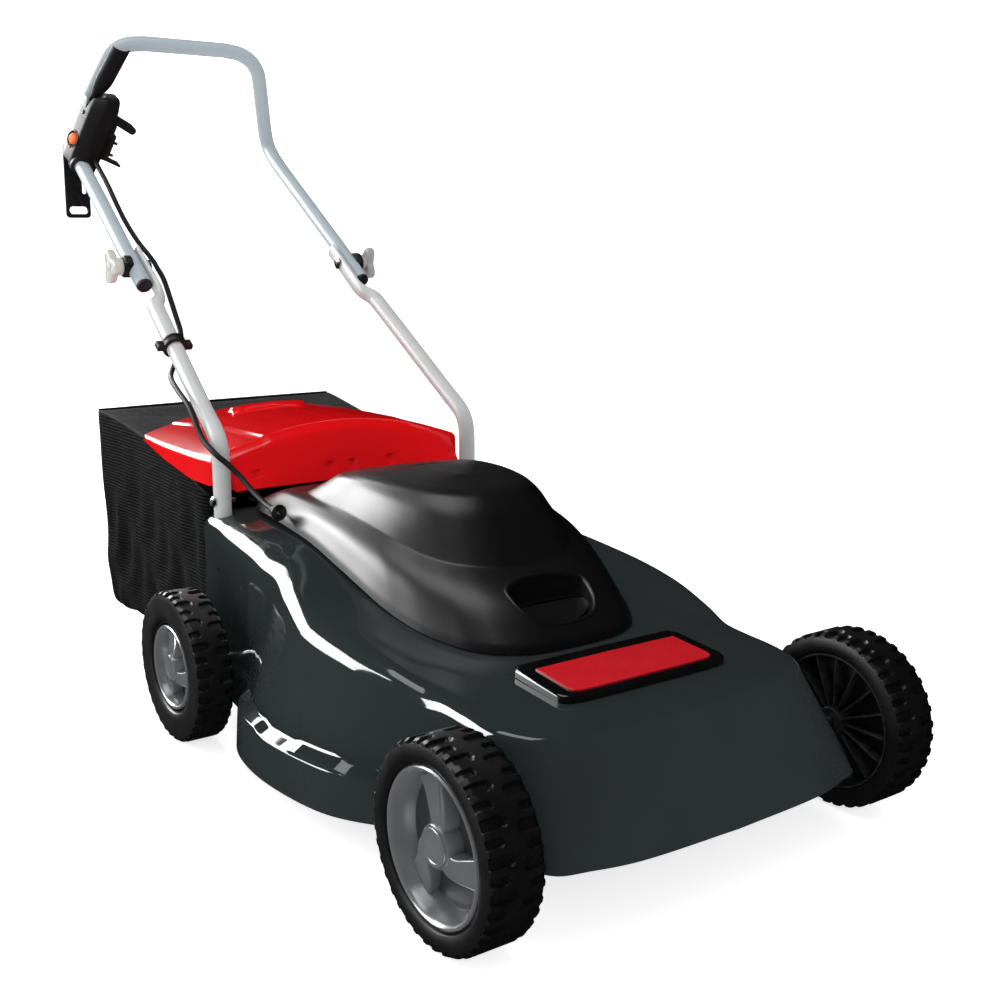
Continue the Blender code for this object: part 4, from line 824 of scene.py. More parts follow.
FRONT_HUB = [(0.0, 0.0226), (0.012, 0.0225), (0.0142, 0.0228), (0.0152, 0.0236),
             (0.0166, 0.0239), (0.0177, 0.0233), (0.018, 0.0222), (0.018, 0.0212),
             (0.0, 0.0212)]
REAR_HUB = [(0.0, 0.0204), (0.009, 0.0204), (0.0108, 0.0207), (0.0118, 0.0214),
            (0.0128, 0.0217), (0.0138, 0.0214), (0.014, 0.0205), (0.014, 0.0195),
            (0.0, 0.0195)]


def add_spokes(bm, centre, turn, hub_r, reach, top):
    """Three swirling spokes that rise to the hub."""
    levels = ((0, -0.005), (0, top - 0.002), (0.0005, top - 0.0008), (0.0014, top - 0.0002),
              (0.0026, top))
    for k in range(3):
        before = set(bm.verts)
        slab(bm, swirl(hub_r, reach, k), levels, turn, centre)
        for vert in set(bm.verts) - before:
            local = turn.transposed() @ (vert.co - Vector(centre))
            if local.z > 0:
                rise = 1 - smoothstep(math.hypot(local.x, local.y), hub_r, reach * 0.85)
                vert.co += turn @ Vector((0, 0, 0.0072 * rise))


def make_rim(tag, body, centre, side, front):
    """Rim with its spokes; the floor between them has a darker material, painted shade for the deep
    windows.
    """
    half = (FRONT_WIDTH if front else REAR_WIDTH) / 2
    bm = bmesh.new()
    profile = front_rim_profile(half) if front else rear_rim_profile(half)
    revolve(bm, profile, centre, (side, 0, 0), 72)
    turn = axis_turn((side, 0, 0))
    hub_r, reach, top = (0.0195, 0.064, 0.0128) if front else (0.0155, 0.045, 0.0118)
    add_spokes(bm, centre, turn, hub_r, reach, top)
    disc = made(f"wheel_disc_{tag}", bm, "rim_grey", 30.0)
    disc.data.materials.append(LOOKS["rim_painted_shade"])
    # The floor faces between the spokes take the painted shade.
    for face in disc.data.polygons:
        local = turn.transposed() @ (face.center - Vector(centre))
        if -0.003 < local.z < 0.0044 and face.normal @ turn.col[2] > 0.5:
            face.material_index = 1
    settle(disc, body, [f"rim_{tag}"])


def make_hub_disc(tag, body, centre, side, front):
    bm = bmesh.new()
    revolve(bm, FRONT_HUB if front else REAR_HUB, centre, (side, 0, 0), 48)
    settle(made(f"hub_disc_{tag}", bm, "rim_grey", 30.0), body,
           [f"hub_cap_{tag}"] if front else ())


def make_core(tag, body, centre, side, front):
    """Black moulded inner side of a wheel: hub tube, web, drum and radial ribs."""
    half = (FRONT_WIDTH if front else REAR_WIDTH) / 2
    drum = 0.073 if front else 0.055
    bm = bmesh.new()
    revolve(bm, [(0.0069, -0.01), (drum - 0.006, -0.01), (drum - 0.003, -half * 0.8),
                 (drum - 0.002, -half * 0.9), (drum + 0.0002, -half * 0.9), (drum, half * 0.84),
                 (drum - 0.0012, half * 0.84), (drum - 0.003, -0.008),
                 (0.0069, -0.008)], centre, (side, 0, 0), 64)
    revolve(bm, [(0.0069, -0.009), (0.016, -0.009), (0.015, -half * 0.92),
                 (0.014, -half * 0.95), (0.0069, -half * 0.95)], centre, (side, 0, 0), 32)
    turn = axis_turn((side, 0, 0))
    count = 16 if front else 12
    low, high = 0.0148, drum - 0.0035
    for k in range(count):
        spin = Matrix.Rotation(2 * math.pi * k / count, 3, "Z")
        outline = rounded_slot(high - low, 0.0022, ((high + low) / 2, 0), 0.0006, 2)
        slab(bm, outline, ((0.0004, -half * 0.8), (0, -half * 0.77), (0, -0.0095)), turn @ spin,
             centre)
    settle(made(f"wheel_core_{tag}", bm, "black_plastic", 30.0), body)


def make_wheels():
    for where, radius, width, seat, y in (("front", FRONT_R, FRONT_WIDTH, 0.0735, 0.0),
                                          ("rear", REAR_R, REAR_WIDTH, 0.0555, REAR_AXLE_Y)):
        for side in (-1, 1):
            tag = f"{where}_{'left' if side < 0 else 'right'}"
            centre = (side * (TRACK_HALF - width / 2), y, radius)
            body = f"wheel_{tag}"
            make_tyre(tag, body, centre, side, radius, width, seat)
            front = where == "front"
            make_rim(tag, body, centre, side, front)
            make_hub_disc(tag, body, centre, side, front)
            make_core(tag, body, centre, side, front)


# ---------------------------------------------------------------- handle
def slope_point(distance, x):
    """A point on the handle's slope, at a distance up from the fold axis."""
    return Vector((x, FOLD_Y + distance * math.cos(HANDLE_SLOPE),
                   FOLD_Z + distance * math.sin(HANDLE_SLOPE)))


def upper_tube_path():
    """The U-shaped upper tube, from its right end up over the grip to its left end."""
    leg = [slope_point(0.042, UPPER_LEG_X), slope_point(0.09, 0.1686),
           slope_point(0.16, 0.1668), slope_point(0.262, 0.1645),
           (0.163, 1.1625, 0.7165), (0.1605, 1.171, 0.731), (0.155, 1.1685, 0.75),
           (0.1415, 1.1495, 0.788), (0.129, 1.131, 0.823), (0.1215, 1.1225, 0.84),
           (0.109, 1.119, 0.8545), (0.09, 1.118, 0.864), (0.064, 1.118, 0.8675)]
    right = [slope_point(-0.042, UPPER_LEG_X), slope_point(0, UPPER_LEG_X)]
    right += smooth_path(leg, 8)
    left = [Vector((-p.x, p.y, p.z)) for p in reversed(right)]
    return right + left


def left_leg_path():
    """The upper tube's left half, for cutting out the parts that sit on it."""
    path = upper_tube_path()
    return path[len(path) // 2:]


def lower_tube_path(side):
    """A lower tube, from its foot up to its flat end at the fold."""
    leg = [(FOOT_X, FOOT_Y, 0.208), (FOOT_X, FOOT_Y, 0.27), (FOOT_X, 0.624, 0.322),
           (0.1832, 0.629, 0.344), (0.1828, 0.642, 0.359), slope_point(-0.3, 0.1812),
           slope_point(-0.2, 0.1764), slope_point(-0.105, 0.1716), slope_point(-0.086, 0.169),
           slope_point(-0.07, 0.161), slope_point(-0.056, LOWER_END_X)]
    tip = [slope_point(-0.056 + 0.0112 * k, LOWER_END_X) for k in range(1, 9)]
    return [Vector((side * p[0], p[1], p[2])) for p in smooth_path(leg, 7) + tip]


def make_tubes():
    """The upper tube, and the two lower ones with their upper ends pressed flat."""
    bm = bmesh.new()
    sweep(bm, upper_tube_path(), TUBE_R, 28, caps=False)
    tube = thicken(made("handle_tube", bm, "tube_blue_grey", 50.0), TUBE_WALL, sharp=50.0)
    settle(tube, "upper_handle", ["upper_tube"])
    slope = slope_point(1.0, 0) - slope_point(0.0, 0)
    pivot = slope_point(0.0, 0)
    squeeze = FLAT_TUBE / (2 * TUBE_R)
    for side in (-1, 1):
        tag = "left" if side < 0 else "right"
        bm = bmesh.new()
        sweep(bm, lower_tube_path(side), TUBE_R, 28, caps=False)
        for vert in bm.verts:
            along = (Vector((0, vert.co.y, vert.co.z)) - pivot).dot(slope)
            flat = smoothstep(along, -0.088, -0.058)
            across = vert.co.x - side * LOWER_END_X
            vert.co.x = side * LOWER_END_X + across * (1 + (squeeze - 1) * flat)
        tube = thicken(made(f"strut_{tag}", bm, "tube_silver", 50.0), TUBE_WALL, sharp=50.0)
        settle(tube, "chassis", [f"lower_tube_{tag}"])


def make_knob(side):
    """Three-lobed clamping knob with finger scallops and a raised boss."""
    tag = "left" if side < 0 else "right"
    start = UPPER_LEG_X + TUBE_R + 0.0066
    look = "knob_white" if side < 0 else "knob_grey"
    turn = frame_of((0, 1, 0), (0, 0, 1)) if side > 0 else frame_of((0, -1, 0), (0, 0, 1))
    lobes = []
    for k in range(72):
        a = 2 * math.pi * k / 72
        radius = 0.0188 + 0.006 * math.cos(3 * a) + 0.0004 * math.cos(6 * a)
        lobes.append((radius * math.cos(a), radius * math.sin(a)))
    centre = (side * (start + 0.0125), FOLD_Y, FOLD_Z)
    bm = bmesh.new()
    slab(bm, lobes, ((0.003, -0.006), (0.0012, -0.0056), (0.0003, -0.0044), (0, -0.003),
                     (0, 0.0026), (0.0004, 0.0042), (0.0014, 0.0054), (0.003, 0.006),
                     (0.006, 0.006), (0.0066, 0.0052), (0.008, 0.005)), turn, centre)
    axis = (side, 0, 0)
    revolve(bm, [(0.0043, 0.0), (0.011, 0.0), (0.012, 0.0008), (0.012, 0.008),
                 (0.0043, 0.008)], (side * start, FOLD_Y, FOLD_Z), axis, 40)
    revolve(bm, [(0.0, 0.0192), (0.004, 0.019), (0.006, 0.0186), (0.0066, 0.0178),
                 (0.0066, 0.016), (0.0, 0.016)], (side * start, FOLD_Y, FOLD_Z), axis, 32)
    settle(made(f"clamp_knob_{tag}", bm, look, 35.0), f"knob_{tag}", [f"knob_{tag}"])


# ---------------------------------------------------------------- switch box
def switch_frame():
    """Columns: outward from the button's face, forward, and up along the leg."""
    return Matrix((SIDE_OUT, LEG_UP.cross(SIDE_OUT), LEG_UP)).transposed()


def in_switch(out, forward, up):
    return SWITCH_CENTRE + switch_frame() @ Vector((out, forward, up))


def rounded_polygon(points, radius):
    """A closed outline with its corners rounded."""
    pts = [Vector((x, y, 0)) for x, y in points]
    ring = []
    steps = 3
    for k, here in enumerate(pts):
        back, ahead = pts[k - 1] - here, pts[(k + 1) % len(pts)] - here
        reach = min(radius, 0.45 * back.length, 0.45 * ahead.length)
        start, end = here + back.normalized() * reach, here + ahead.normalized() * reach
        for j in range(steps + 1):
            t = j / steps
            ring.append(start * (1 - t) ** 2 + here * 2 * t * (1 - t) + end * t * t)
    return [(p.x, p.y) for p in ring]


SWITCH_LEVELS = ((-0.0545, 0.84, 0.76, 0.45), (-0.053, 0.9, 0.82, 0.45),
                 (-0.042, 0.95, 0.92, 0.32), (-0.025, 1.0, 1.0, 0.12), (0.002, 1.0, 1.0, 0.0),
                 (0.03, 1.0, 1.0, 0.0), (0.045, 0.98, 0.97, -0.18), (0.056, 0.88, 0.86, -0.26),
                 (0.06, 0.79, 0.77, -0.26), (0.0612, 0.7, 0.7, -0.26))
SWITCH_OUTLINE = ((0.0236, -0.02), (0.0236, -0.002), (0.0172, 0.018), (-0.001, 0.029),
                  (-0.018, 0.0235), (-0.0262, 0.013), (-0.0262, -0.02), (-0.019, -0.0265),
                  (0.0165, -0.0265))
BUTTON_AT = (0.0207, 0.007, -0.012)


def side_frame():
    """Columns: forward, up along the leg, and outward from the button's face of the housing."""
    turn = switch_frame()
    return frame_of(turn.col[1], turn.col[2])


def button_axis():
    return switch_frame() @ Vector((0.93, 0.368, 0.0))


def make_switch_housing():
    """Faceted housing with a ridge down its front, cut out for tube, button and lever."""
    ring = rounded_polygon(SWITCH_OUTLINE, 0.003)
    rows = []
    for up, wide, deep, lean in SWITCH_LEVELS:
        rows.append([in_switch(x * wide, y * deep, up + lean * x) for x, y in ring])
    bm = bmesh.new()
    skin(bm, rows, around=True, caps=(True, True))
    case = soften(made("switch_housing", bm, "black_plastic", 28.0), 0.0008, 24.0)
    bm = bmesh.new()
    sweep(bm, left_leg_path(), TUBE_R + 0.0006, 24)
    carve(case, made("cutter", bm, "black_plastic"))
    bm = bmesh.new()
    revolve(bm, plug(0.0112, -0.014, 0.006), in_switch(*BUTTON_AT), button_axis(), 32)
    slab(bm, rounded_slot(0.024, 0.044, corner=0.003), ((0, 0.037), (0, 0.07)),
         switch_frame(), in_switch(0.0085, -0.012, 0))
    carve(case, made("cutter", bm, "black_plastic"))
    settle(case, "upper_handle", ["switch_case", "switch_cover"])


def make_switch_trim():
    """Bezel of the button, rib along the tube, collar round the tube and three case screws."""
    bm = bmesh.new()
    revolve(bm, [(0.0107, -0.002), (0.0107, 0.001), (0.0112, 0.0016), (0.0122, 0.0014),
                 (0.0132, 0.0004), (0.0136, -0.002)], in_switch(*BUTTON_AT), button_axis(), 40)
    slab(bm, rounded_slot(0.0042, 0.07, corner=0.0016, steps=3),
         ((0.0005, 0.0208), (0, 0.0212), (0, 0.0222), (0.0006, 0.0228)), side_frame(),
         in_switch(0, -0.019, 0.0))
    revolve(bm, [(TUBE_R + 0.0004, 0.0), (0.015, 0.0), (0.0166, -0.002), (0.0166, -0.015),
                 (TUBE_R + 0.0004, -0.015)], slope_point(0.246, -0.165),
            slope_point(-1, 0) - slope_point(0, 0), 32)
    for forward, up in ((0.006, 0.03), (0.006, -0.023), (-0.013, 0.026)):
        revolve(bm, [(0.0, 0.0216), (0.0014, 0.0216), (0.0016, 0.0222), (0.003, 0.0222),
                     (0.0034, 0.0216), (0.0034, 0.0205), (0.0, 0.0205)],
                in_switch(0, forward, up), side_frame().col[2], 20)
    settle(made("switch_trim", bm, "black_plastic", 30.0), "upper_handle")


def make_button():
    bm = bmesh.new()
    revolve(bm, [(0.0, 0.007), (0.0036, 0.0071), (0.0064, 0.0068), (0.008, 0.0058),
                 (0.0087, 0.004), (0.0088, 0.002), (0.0088, -0.003), (0.0, -0.003)],
            in_switch(*BUTTON_AT) - button_axis() * 0.004, button_axis(), 40)
    settle(made("safety_button", bm, "button_orange", 40.0), "button", ["lock_button"])


def make_inlet():
    """Supply inlet on the inner face: a stepped block, a thick upper arm and a lower lip."""
    face = -0.0262
    turn = switch_frame()
    bm = bmesh.new()
    for height, up, depth in ((0.054, 0.003, 0.006), (0.042, -0.006, 0.011)):
        ring = rounded_slot(0.03, height, corner=0.0045, steps=4)
        slab(bm, ring, ((0, 0.004), (0, -depth + 0.001), (0.0008, -depth)), side_frame(),
             in_switch(face, -0.006, up))
    slab(bm, rounded_slot(0.042, 0.0116, corner=0.0055, steps=5),
         ((0.001, -0.012), (0, -0.011), (0, 0.011), (0.001, 0.012)),
         frame_of(turn.col[0], turn.col[2]) @ Matrix.Rotation(math.radians(10.0), 3, "Z"),
         in_switch(face - 0.015, -0.006, 0.033))
    slab(bm, rounded_slot(0.036, 0.0036, corner=0.0016, steps=4),
         ((0.0006, -0.011), (0, -0.0104), (0, 0.0104), (0.0006, 0.011)),
         frame_of(turn.col[0], turn.col[2]) @ Matrix.Rotation(math.radians(4.0), 3, "Z"),
         in_switch(face - 0.016, -0.006, -0.0255))
    settle(made("inlet_hood", bm, "black_plastic", 35.0), "upper_handle", ["inlet_shroud"])


def lever_base():
    return in_switch(0.0085, -0.011, 0.047)


def make_lever():
    """Trough-shaped lever with rolled edges and a slanted tip."""
    up = Matrix.Rotation(-LEVER_TILT, 3, SIDE_OUT) @ LEG_UP
    forward = up.cross(SIDE_OUT)
    arc, steps, wall = math.radians(136.0), 22, 0.0022
    radius = 0.013
    bm = bmesh.new()
    rows = []
    spans = ((0.0, 0.52), (0.004, 0.55), (0.01, 0.58), (0.018, 0.66), (0.027, 0.84),
             (0.036, 0.97), (0.044, 1.0), (0.06, 1.0), (0.078, 1.0), (0.09, 1.0),
             (0.0955, 0.99), (0.0975, 0.965))
    for dist, scale in spans:
        base = lever_base() + up * dist
        outer, inner = [], []
        for k in range(steps + 1):
            a = arc * (k / steps - 0.5)
            slant = 0.0 if dist < 0.07 else -0.004 * (k / steps - 0.5)
            for ring, r in ((outer, radius + wall / 2), (inner, radius - wall / 2)):
                r *= scale
                ring.append(base + up * slant + SIDE_OUT * math.sin(a) * r
                            + forward * (math.cos(a) * r - 0.0025))
        rows.append(outer + inner[::-1])
    skin(bm, rows, around=True, caps=(True, True))
    lever = soften(made("squeeze_lever", bm, "black_plastic", 30.0), 0.0006, 50.0, 50.0)
    settle(lever, "lever", ["stop_lever"])


def make_cord_hook():
    """Strain-relief plate with two slots, behind the leg below the switch box."""
    outline = rounded_slot(0.038, 0.112, corner=0.006)
    bm = bmesh.new()
    centre = (-0.1535, 1.188, 0.668)
    slab(bm, outline, ((0.001, -0.002), (0.0003, -0.0017), (0, -0.001), (0, 0.001),
                       (0.0003, 0.0017), (0.001, 0.002)), XZ, centre)
    hook = made("cord_retainer", bm, "black_plastic", 40.0)
    bm = bmesh.new()
    slab(bm, rounded_slot(0.028, 0.011, (0, -0.0445), corner=0.005), ((0, -0.01), (0, 0.01)), XZ,
         centre)
    slab(bm, rounded_slot(0.006, 0.04, (0.01, 0.0), corner=0.0029), ((0, -0.01), (0, 0.01)), XZ,
         centre)
    carve(hook, made("cutter", bm, "black_plastic"))
    settle(hook, "upper_handle", ["cord_hook"])
    bm = bmesh.new()
    slab(bm, rounded_slot(0.024, 0.014, corner=0.003, steps=3),
         ((0.0006, -0.008), (0, -0.0072), (0, 0.0072), (0.0006, 0.0078)), XZ,
         (-0.16, 1.1792, 0.716))
    saddle = made("hook_saddle", bm, "black_plastic")
    bm = bmesh.new()
    sweep(bm, left_leg_path(), TUBE_R + 0.0004, 24)
    carve(saddle, made("cutter", bm, "black_plastic"))
    settle(saddle, "upper_handle")


# ---------------------------------------------------------------- cable
def beside_slope(distance, x, above):
    """A point above the handle's slope, square to it."""
    return slope_point(distance, x) + Vector((0, -math.sin(HANDLE_SLOPE),
                                              math.cos(HANDLE_SLOPE))) * above


CABLE_UPPER = [(-0.151, 1.126, 0.708), (-0.149, 1.108, 0.69),
               (-0.1475, 1.084, 0.67), (-0.147, 1.066, 0.655), (-0.147, 1.04, 0.633),
               (-0.148, 1.005, 0.608), (-0.145, 0.97, 0.582), (-0.14, 0.945, 0.564),
               (-0.138, 0.9295, 0.5536)]


def cable_route():
    lower = [slope_point(0, -0.138), slope_point(-0.03, -0.138),
             beside_slope(-0.07, -0.143, -0.001), beside_slope(-0.105, -0.1475, -0.003),
             beside_slope(-0.135, -0.15, -0.009), beside_slope(-0.158, -0.157, -0.018),
             beside_slope(-0.175, -0.168, -0.024), beside_slope(-0.193, -0.18, -0.023),
             beside_slope(-0.212, -0.19, -0.018), beside_slope(-0.236, -0.197, -0.009),
             beside_slope(-0.265, -0.201, 0.0), beside_slope(-0.3, -0.202, 0.006),
             (-0.201, 0.638, 0.352), (-0.1965, 0.612, 0.336), (-0.186, 0.597, 0.323),
             (-0.177, 0.583, 0.309), (-0.171, 0.562, 0.294), (-0.1675, 0.54, 0.284),
             (-0.1665, 0.519, 0.2792)]
    return CABLE_UPPER + lower


def make_cable():
    """One cable from the switch housing to the motor cover, blended over the fold joint."""
    bm = bmesh.new()
    sweep(bm, smooth_path(cable_route(), 7), CABLE_R, 18)
    cable = made("power_cable", bm, "cable_black", 60.0)
    cable.data.transform(Matrix.Translation(SHIFT))
    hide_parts("cable_upper", "cable_lower")
    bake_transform(cable)


def make_clip():
    """Two-part strap clamp with ears."""
    centre = slope_point(-0.172, -0.1745)
    along = slope_point(1.0, 0) - slope_point(0.0, 0)
    across = Vector((1, 0, 0))
    turn = frame_of(across, along.cross(across) * -1)
    bm = bmesh.new()
    revolve(bm, [(TUBE_R + 0.0006, 0.0065), (0.015, 0.0065), (0.016, 0.006), (0.0165, 0.0048),
                 (0.0165, 0.003), (0.0156, 0.002), (0.0156, -0.002), (0.0165, -0.003),
                 (0.0165, -0.0048), (0.016, -0.006), (0.015, -0.0065),
                 (TUBE_R + 0.0006, -0.0065)], centre, along, 48)
    for side in (-1, 1):
        ear = turn @ Vector((side * 0.0185, 0, 0))
        slab(bm, rounded_slot(0.011, 0.009, corner=0.0022, steps=3),
             ((0.0008, -0.006), (0, -0.0052), (0, 0.0052), (0.0008, 0.006)), turn, centre + ear)
    settle(made("cable_clamp", bm, "black_plastic", 35.0), "chassis", ["cable_clip"])


# ---------------------------------------------------------------- rear flap
def flap_rows():
    """Right half sections of the flap, from its foot behind the motor cover to its free edge."""
    rows = []
    for y, top, half, hem in ((0.615, 0.285, 0.166, 0.283), (0.63, 0.32, 0.1685, 0.285),
                              (0.641, 0.348, 0.17, 0.286), (0.653, 0.3565, 0.186, 0.288),
                              (0.7, 0.3575, 0.192, 0.29), (0.8, 0.3545, 0.19, 0.303),
                              (0.895, 0.348, 0.182, 0.3155)):
        row = []
        crown = 1.0 if top > 0.3 else 0.0
        rise = min(1.0, (top - 0.285) / 0.07)
        for share in (0.0, 0.22, 0.44, 0.65, 0.83, 0.975):
            x = half * share
            row.append((x, y, max(top - crown * x * x * rise, hem)))
        edge = max(top - crown * (half * half) * rise, hem)
        row.append((half * 0.995, y, edge + (hem - edge) * 0.08))
        row.append((half, y, edge + (hem - edge) * 0.6))
        row.append((half, y, min(hem, edge)))
        rows.append(row)
    return rows


FLAP_DIMPLES = (-0.135, -0.031, 0.002, 0.059, 0.161)
GRIP_MIDDLE = (-0.01, 0.848)


def flap_shape(point):
    """Seams, dimples and the grip bar, pressed into the flap's smooth surface."""
    x, y, z = point
    lift = 0.0
    if y > 0.622 and z > 0.288:
        seam = 0.1085 + 0.1 * max(y - 0.65, 0)
        lift -= 0.0016 * smoothstep(abs(x), seam, seam + 0.004)
    front = 0.0
    if y < 0.646:
        for spot in FLAP_DIMPLES:
            away = max(abs(x - spot) / 0.005, abs(z - 0.302) / 0.0052)
            front += 0.0034 * (1 - smoothstep(away, 0.6, 1.2))
    along = max(abs(x - GRIP_MIDDLE[0]) - 0.046, 0.0)
    away = math.hypot(along, y - GRIP_MIDDLE[1]) / 0.015
    lift += 0.0062 * (1 - smoothstep(away, 0.62, 1.05)) if y > 0.7 else 0.0
    return Vector((x, y + front + (0.4 * lift if y < 0.66 else 0.0), z + lift))


def make_flap():
    rows = [rounded_line(row, (0.01, 0.01, 0.01, 0.01, 0.006, 0.004, 0.004), 3, 9)
            for row in flap_rows()]
    columns = [rounded_line(column, (0.006, 0.006, 0.007, 0.02, 0.02), 4, 9)
               for column in zip(*rows)]
    bm = bmesh.new()
    skin(bm, [[flap_shape(p) for p in both_sides(list(row))] for row in zip(*columns)])
    flap = thicken(made("discharge_flap", bm, "flap_red", 30.0), PLASTIC_WALL, sharp=30.0)
    settle(flap, "flap", ["rear_flap"])


# ---------------------------------------------------------------- grass bag
BAG_SECTIONS = ((0.672, 0.156, 0.072, 0.256), (0.68, 0.178, 0.062, 0.27),
                (0.72, 0.183, 0.056, 0.285), (0.8, 0.182, 0.05, 0.302),
                (0.9, 0.1815, 0.043, 0.317), (0.99, 0.186, 0.037, 0.329),
                (1.035, 0.19, 0.035, 0.333))
BAG_MIDDLE = 0.19


def bag_ring(half, low, high):
    """Half outline (x, z), bottom centre round the side to the top centre."""
    corners = ((0.0, low), (half, low), (half, high), (0.0, high))
    line = rounded_line([(x, 0, z) for x, z in corners], (0.026, 0.0045), 5, 18)
    return [(p.x, p.z) for p in line]


def bag_folds(x, y, z):
    """How far the slack side cloth stands in or out: long folds that fan out downwards."""
    down = smoothstep(0.32 - z, 0.02, 0.22)
    wave = math.sin(y * 46.0 + 2.6 * z * 10 + (1.3 if x > 0 else 0.0))
    wave += 0.6 * math.sin(y * 83.0 - 19.0 * z + (0.7 if x > 0 else 2.1))
    slack = noise.noise(Vector((x * 4, y * 9, z * 5))) * 0.8
    return (0.0068 * wave + 0.012 * slack) * (0.16 + 0.84 * down)


def bag_rows():
    """Half sections of the bag from its mouth back, then drawn in over its rounded rear."""
    halves = smooth_path([(s[1], 0, 0) for s in BAG_SECTIONS], 7)
    depths = smooth_path([(s[0], s[2], s[3]) for s in BAG_SECTIONS], 7)
    rows = []
    for wide, deep in zip(halves, depths):
        ring = bag_ring(wide.x, deep.y, deep.z)
        rows.append([Vector((x, deep.x, z)) for x, z in ring])
    last = rows[-1]
    for share, back in ((0.985, 0.01), (0.95, 0.018), (0.86, 0.022), (0.7, 0.0245),
                        (0.5, 0.0255), (0.28, 0.026), (0.0, 0.0262)):
        row = []
        for p in last:
            lean = (p.z - 0.048) / 0.285
            z = BAG_MIDDLE + (p.z - BAG_MIDDLE) * share
            row.append(Vector((p.x * share, p.y + back * (0.25 + 0.75 * lean), z)))
        rows.append(row)
    return rows


def slacken(p):
    """Moves a point as slack cloth: folds in the sides, a sunken top and a hanging floor."""
    side = smoothstep(abs(p.x), 0.135, 0.17)
    trim = smoothstep(p.y, 0.685, 0.72) * smoothstep(0.318 - p.z, 0.0, 0.03)
    tail = smoothstep(p.y, 0.99, 1.04)
    fold = bag_folds(p.x, p.y, p.z) * trim
    p.x -= math.copysign(fold * side * (1 - 0.5 * tail), p.x)
    inner = 1 - smoothstep(abs(p.x), 0.12, 0.178)
    if p.z > 0.24:
        p.z -= 0.006 * inner * smoothstep(p.y, 0.69, 0.8) * (1 - tail)
    elif p.z < 0.08:
        p.z -= 0.005 * inner * smoothstep(p.y, 0.69, 0.8) * (1 - tail)
    p.y += 0.0035 * noise.noise(Vector((p.x * 14, 3.0, p.z * 9))) * tail


def make_bag():
    """Lofted cloth shell with ribbed sides and a plain woven top and floor."""
    rows = bag_rows()
    whole = [both_sides(row) for row in rows]
    for row in whole:
        for point in row:
            slacken(point)
    bm = bmesh.new()
    skin(bm, whole)
    bag = made("grass_bag", bm, "fabric_ribbed", 60.0)
    bag.data.materials.append(LOOKS["fabric_black"])
    for face in bag.data.polygons:
        if abs(face.normal.z) > 0.55:
            face.material_index = 1
    subdivide = bag.modifiers.new("round", "SUBSURF")
    subdivide.levels = 1
    subdivide.render_levels = 1
    bake(bag, 60.0)
    thicken(bag, 0.0024, 1.0, 60.0)
    settle(bag, "bag", ["bag_shell"])
    make_piping(rows)


def make_piping(rows):
    """Sewn binding along the bag's top side edges and its top rear edge."""
    thick = 0.0024
    bm = bmesh.new()
    for side in (-1, 1):
        edge = []
        for row in rows[:-6]:
            corner = max(row, key=lambda p: p.x * 0.8 + p.z)
            edge.append(Vector((side * (corner.x + 0.0015), corner.y, corner.z + 0.0012)))
        sweep(bm, edge, thick, 12)
    rear = []
    for k in range(25):
        share = k / 12 - 1
        rear.append(Vector((0.1895 * share, 1.04 + 0.005 * math.cos(share * 1.5), 0.335)))
    sweep(bm, rear, thick, 12)
    settle(made("bag_piping", bm, "fabric_black", 60.0), "bag")


# ---------------------------------------------------------------- carried-over nodes
CARRIED = {
    "steel": ("front_axle", "rear_axle", "flap_hinge_pin", "flap_spring", "foot_bolt_left",
              "foot_bolt_right", "fold_bolt_left", "fold_bolt_right", "bearing_lower",
              "bearing_upper", "rotor_shaft", "blade", "blade_bolt", "bag_frame"),
    "aluminium": ("motor_end_plate", "capacitor", "blade_hub"),
    "lamination": ("stator_core", "rotor_core"),
    "brass": ("inlet_pin_upper", "inlet_pin_lower"),
    "black_plastic": ("motor_can", "hinge_bracket", "cable_gland", "saddle_washer_left",
                      "saddle_washer_right", "end_cap_left", "end_cap_right", "fan"),
}


def dress_nodes():
    """Gives the CAD nodes that are shown as they are their materials."""
    for look, names in CARRIED.items():
        for name in names:
            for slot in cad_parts[name].material_slots:
                slot.material = LOOKS[look]


# ---------------------------------------------------------------- studio
CAMERA_AT = Vector((-0.8421, -1.4167, 0.623))
CAMERA_LINE = Vector((0.57388, 0.79109, -0.21175))
CAMERA_ROLL = math.radians(0.52)
CAMERA_LENS = 47.44


def make_camera():
    """The photo's camera, solved from the wheels and the handle; it leans a little."""
    ahead = CAMERA_LINE.normalized()
    right = ahead.cross(Vector((0, 0, 1))).normalized()
    up = right.cross(ahead)
    side = right * math.cos(CAMERA_ROLL) + up * math.sin(CAMERA_ROLL)
    top = up * math.cos(CAMERA_ROLL) - right * math.sin(CAMERA_ROLL)
    data = bpy.data.cameras.new("camera")
    data.lens = CAMERA_LENS
    data.sensor_width = 36.0
    camera = bpy.data.objects.new("camera", data)
    camera.matrix_world = (Matrix.Translation(CAMERA_AT)
                           @ Matrix((side, top, -ahead)).transposed().to_4x4())
    bpy.context.scene.collection.objects.link(camera)
    bpy.context.scene.camera = camera


def softbox(name, at, target, width, height, power, glossy=True, diffuse=True):
    data = bpy.data.lights.new(name, "AREA")
    data.shape = "RECTANGLE"
    data.size, data.size_y = width, height
    data.energy = power
    light = bpy.data.objects.new(name, data)
    light.location = at
    light.rotation_euler = (Vector(target) - Vector(at)).to_track_quat("-Z", "Y").to_euler()
    light.visible_camera = False
    light.visible_glossy = glossy
    light.visible_diffuse = diffuse
    bpy.context.scene.collection.objects.link(light)


def glowing_paper(name, rough, grain, glow):
    """White paper with some light of its own, so that it stays white between the lights."""
    paper = Finish(name, (0.9, 0.9, 0.9), rough)
    paper.mottle(grain, 0.01).patina(grain * 4, 0.05)
    paper.shader.inputs["Emission Color"].default_value = (1.0, 1.0, 1.0, 1.0)
    paper.shader.inputs["Emission Strength"].default_value = glow


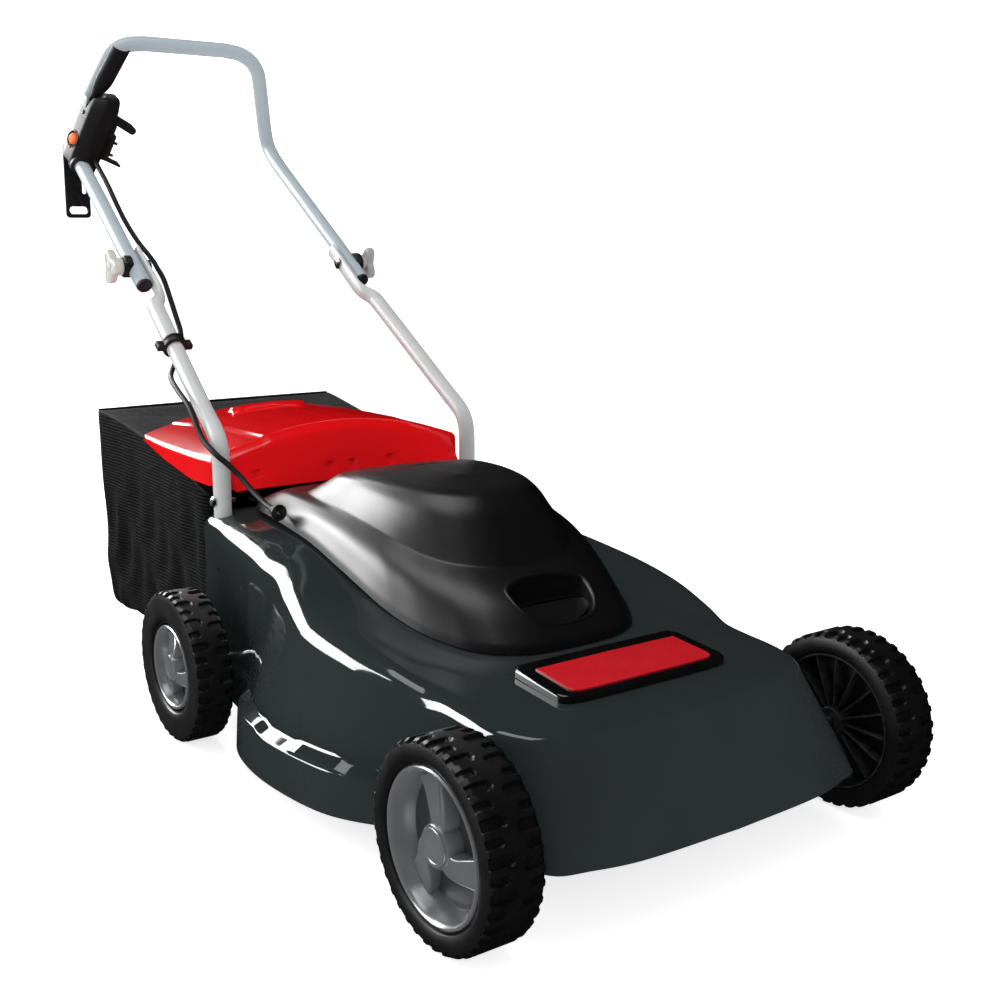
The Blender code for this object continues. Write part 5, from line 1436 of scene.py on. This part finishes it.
def staged(name, bm):
    """A piece of the studio, in the paper of its name."""
    mesh = bpy.data.meshes.new(name)
    bm.to_mesh(mesh)
    bm.free()
    mesh.materials.append(LOOKS[f"{name}_paper"])
    obj = bpy.data.objects.new(name, mesh)
    bpy.context.scene.collection.objects.link(obj)
    return obj


def make_surroundings():
    """An even white world, a pale floor and a white backdrop that only the camera sees."""
    world = bpy.data.worlds.new("studio")
    bpy.context.scene.world = world
    world.use_nodes = True
    back = world.node_tree.nodes["Background"]
    back.inputs["Color"].default_value = (1.0, 1.0, 1.0, 1.0)
    back.inputs["Strength"].default_value = 0.5
    world.cycles_visibility.glossy = False
    glowing_paper("floor_paper", 0.8, 2.0, 0.74)
    bm = bmesh.new()
    bmesh.ops.create_circle(bm, cap_ends=True, segments=96, radius=14.0)
    floor = staged("floor", bm)
    floor.visible_glossy = False
    glowing_paper("backdrop_paper", 0.9, 1.0, 1.0)
    bm = bmesh.new()
    bmesh.ops.create_icosphere(bm, subdivisions=4, radius=13.5)
    backdrop = staged("backdrop", bm)
    backdrop.visible_diffuse = False
    backdrop.visible_glossy = False
    backdrop.visible_transmission = False
    backdrop.visible_shadow = False


def make_lights():
    """Soft lights; the two windows are seen only in reflections."""
    softbox("rear_left", (-1.1, 3.0, 1.6), (-0.2, 0.2, 0.2), 3.4, 1.4, 60.0, glossy=False)
    softbox("window_rear", (-0.95, 3.0, 1.75), (-0.2, 0.25, 0.2), 2.8, 1.35, 195.0, diffuse=False)
    softbox("window_left", (-2.85, 2.15, 1.95), (-0.2, 0.1, 0.2), 2.4, 1.9, 240.0, diffuse=False)
    softbox("top", (-0.5, 0.0, 2.6), (-0.1, 0.1, 0.2), 1.6, 1.4, 24.0)
    softbox("left", (-2.6, -0.3, 1.1), (0, 0.1, 0.3), 1.0, 1.4, 9.0, glossy=False)
    softbox("right", (2.4, -0.9, 1.5), (0, 0.0, 0.3), 1.0, 1.6, 8.0, glossy=False)
    softbox("front", (-1.2, -3.0, 1.6), (0, 0.0, 0.3), 1.6, 1.2, 14.0, glossy=False)


make_looks()
make_camera()
make_surroundings()
make_lights()
bpy.context.scene.view_settings.view_transform = "Standard"
make_deck()
make_cover()
make_badge()
make_wheels()
make_tubes()
make_knob(-1)
make_knob(1)
make_switch_housing()
make_switch_trim()
make_inlet()
make_button()
make_lever()
make_cord_hook()
make_cable()
make_clip()
make_flap()
make_bag()
dress_nodes()
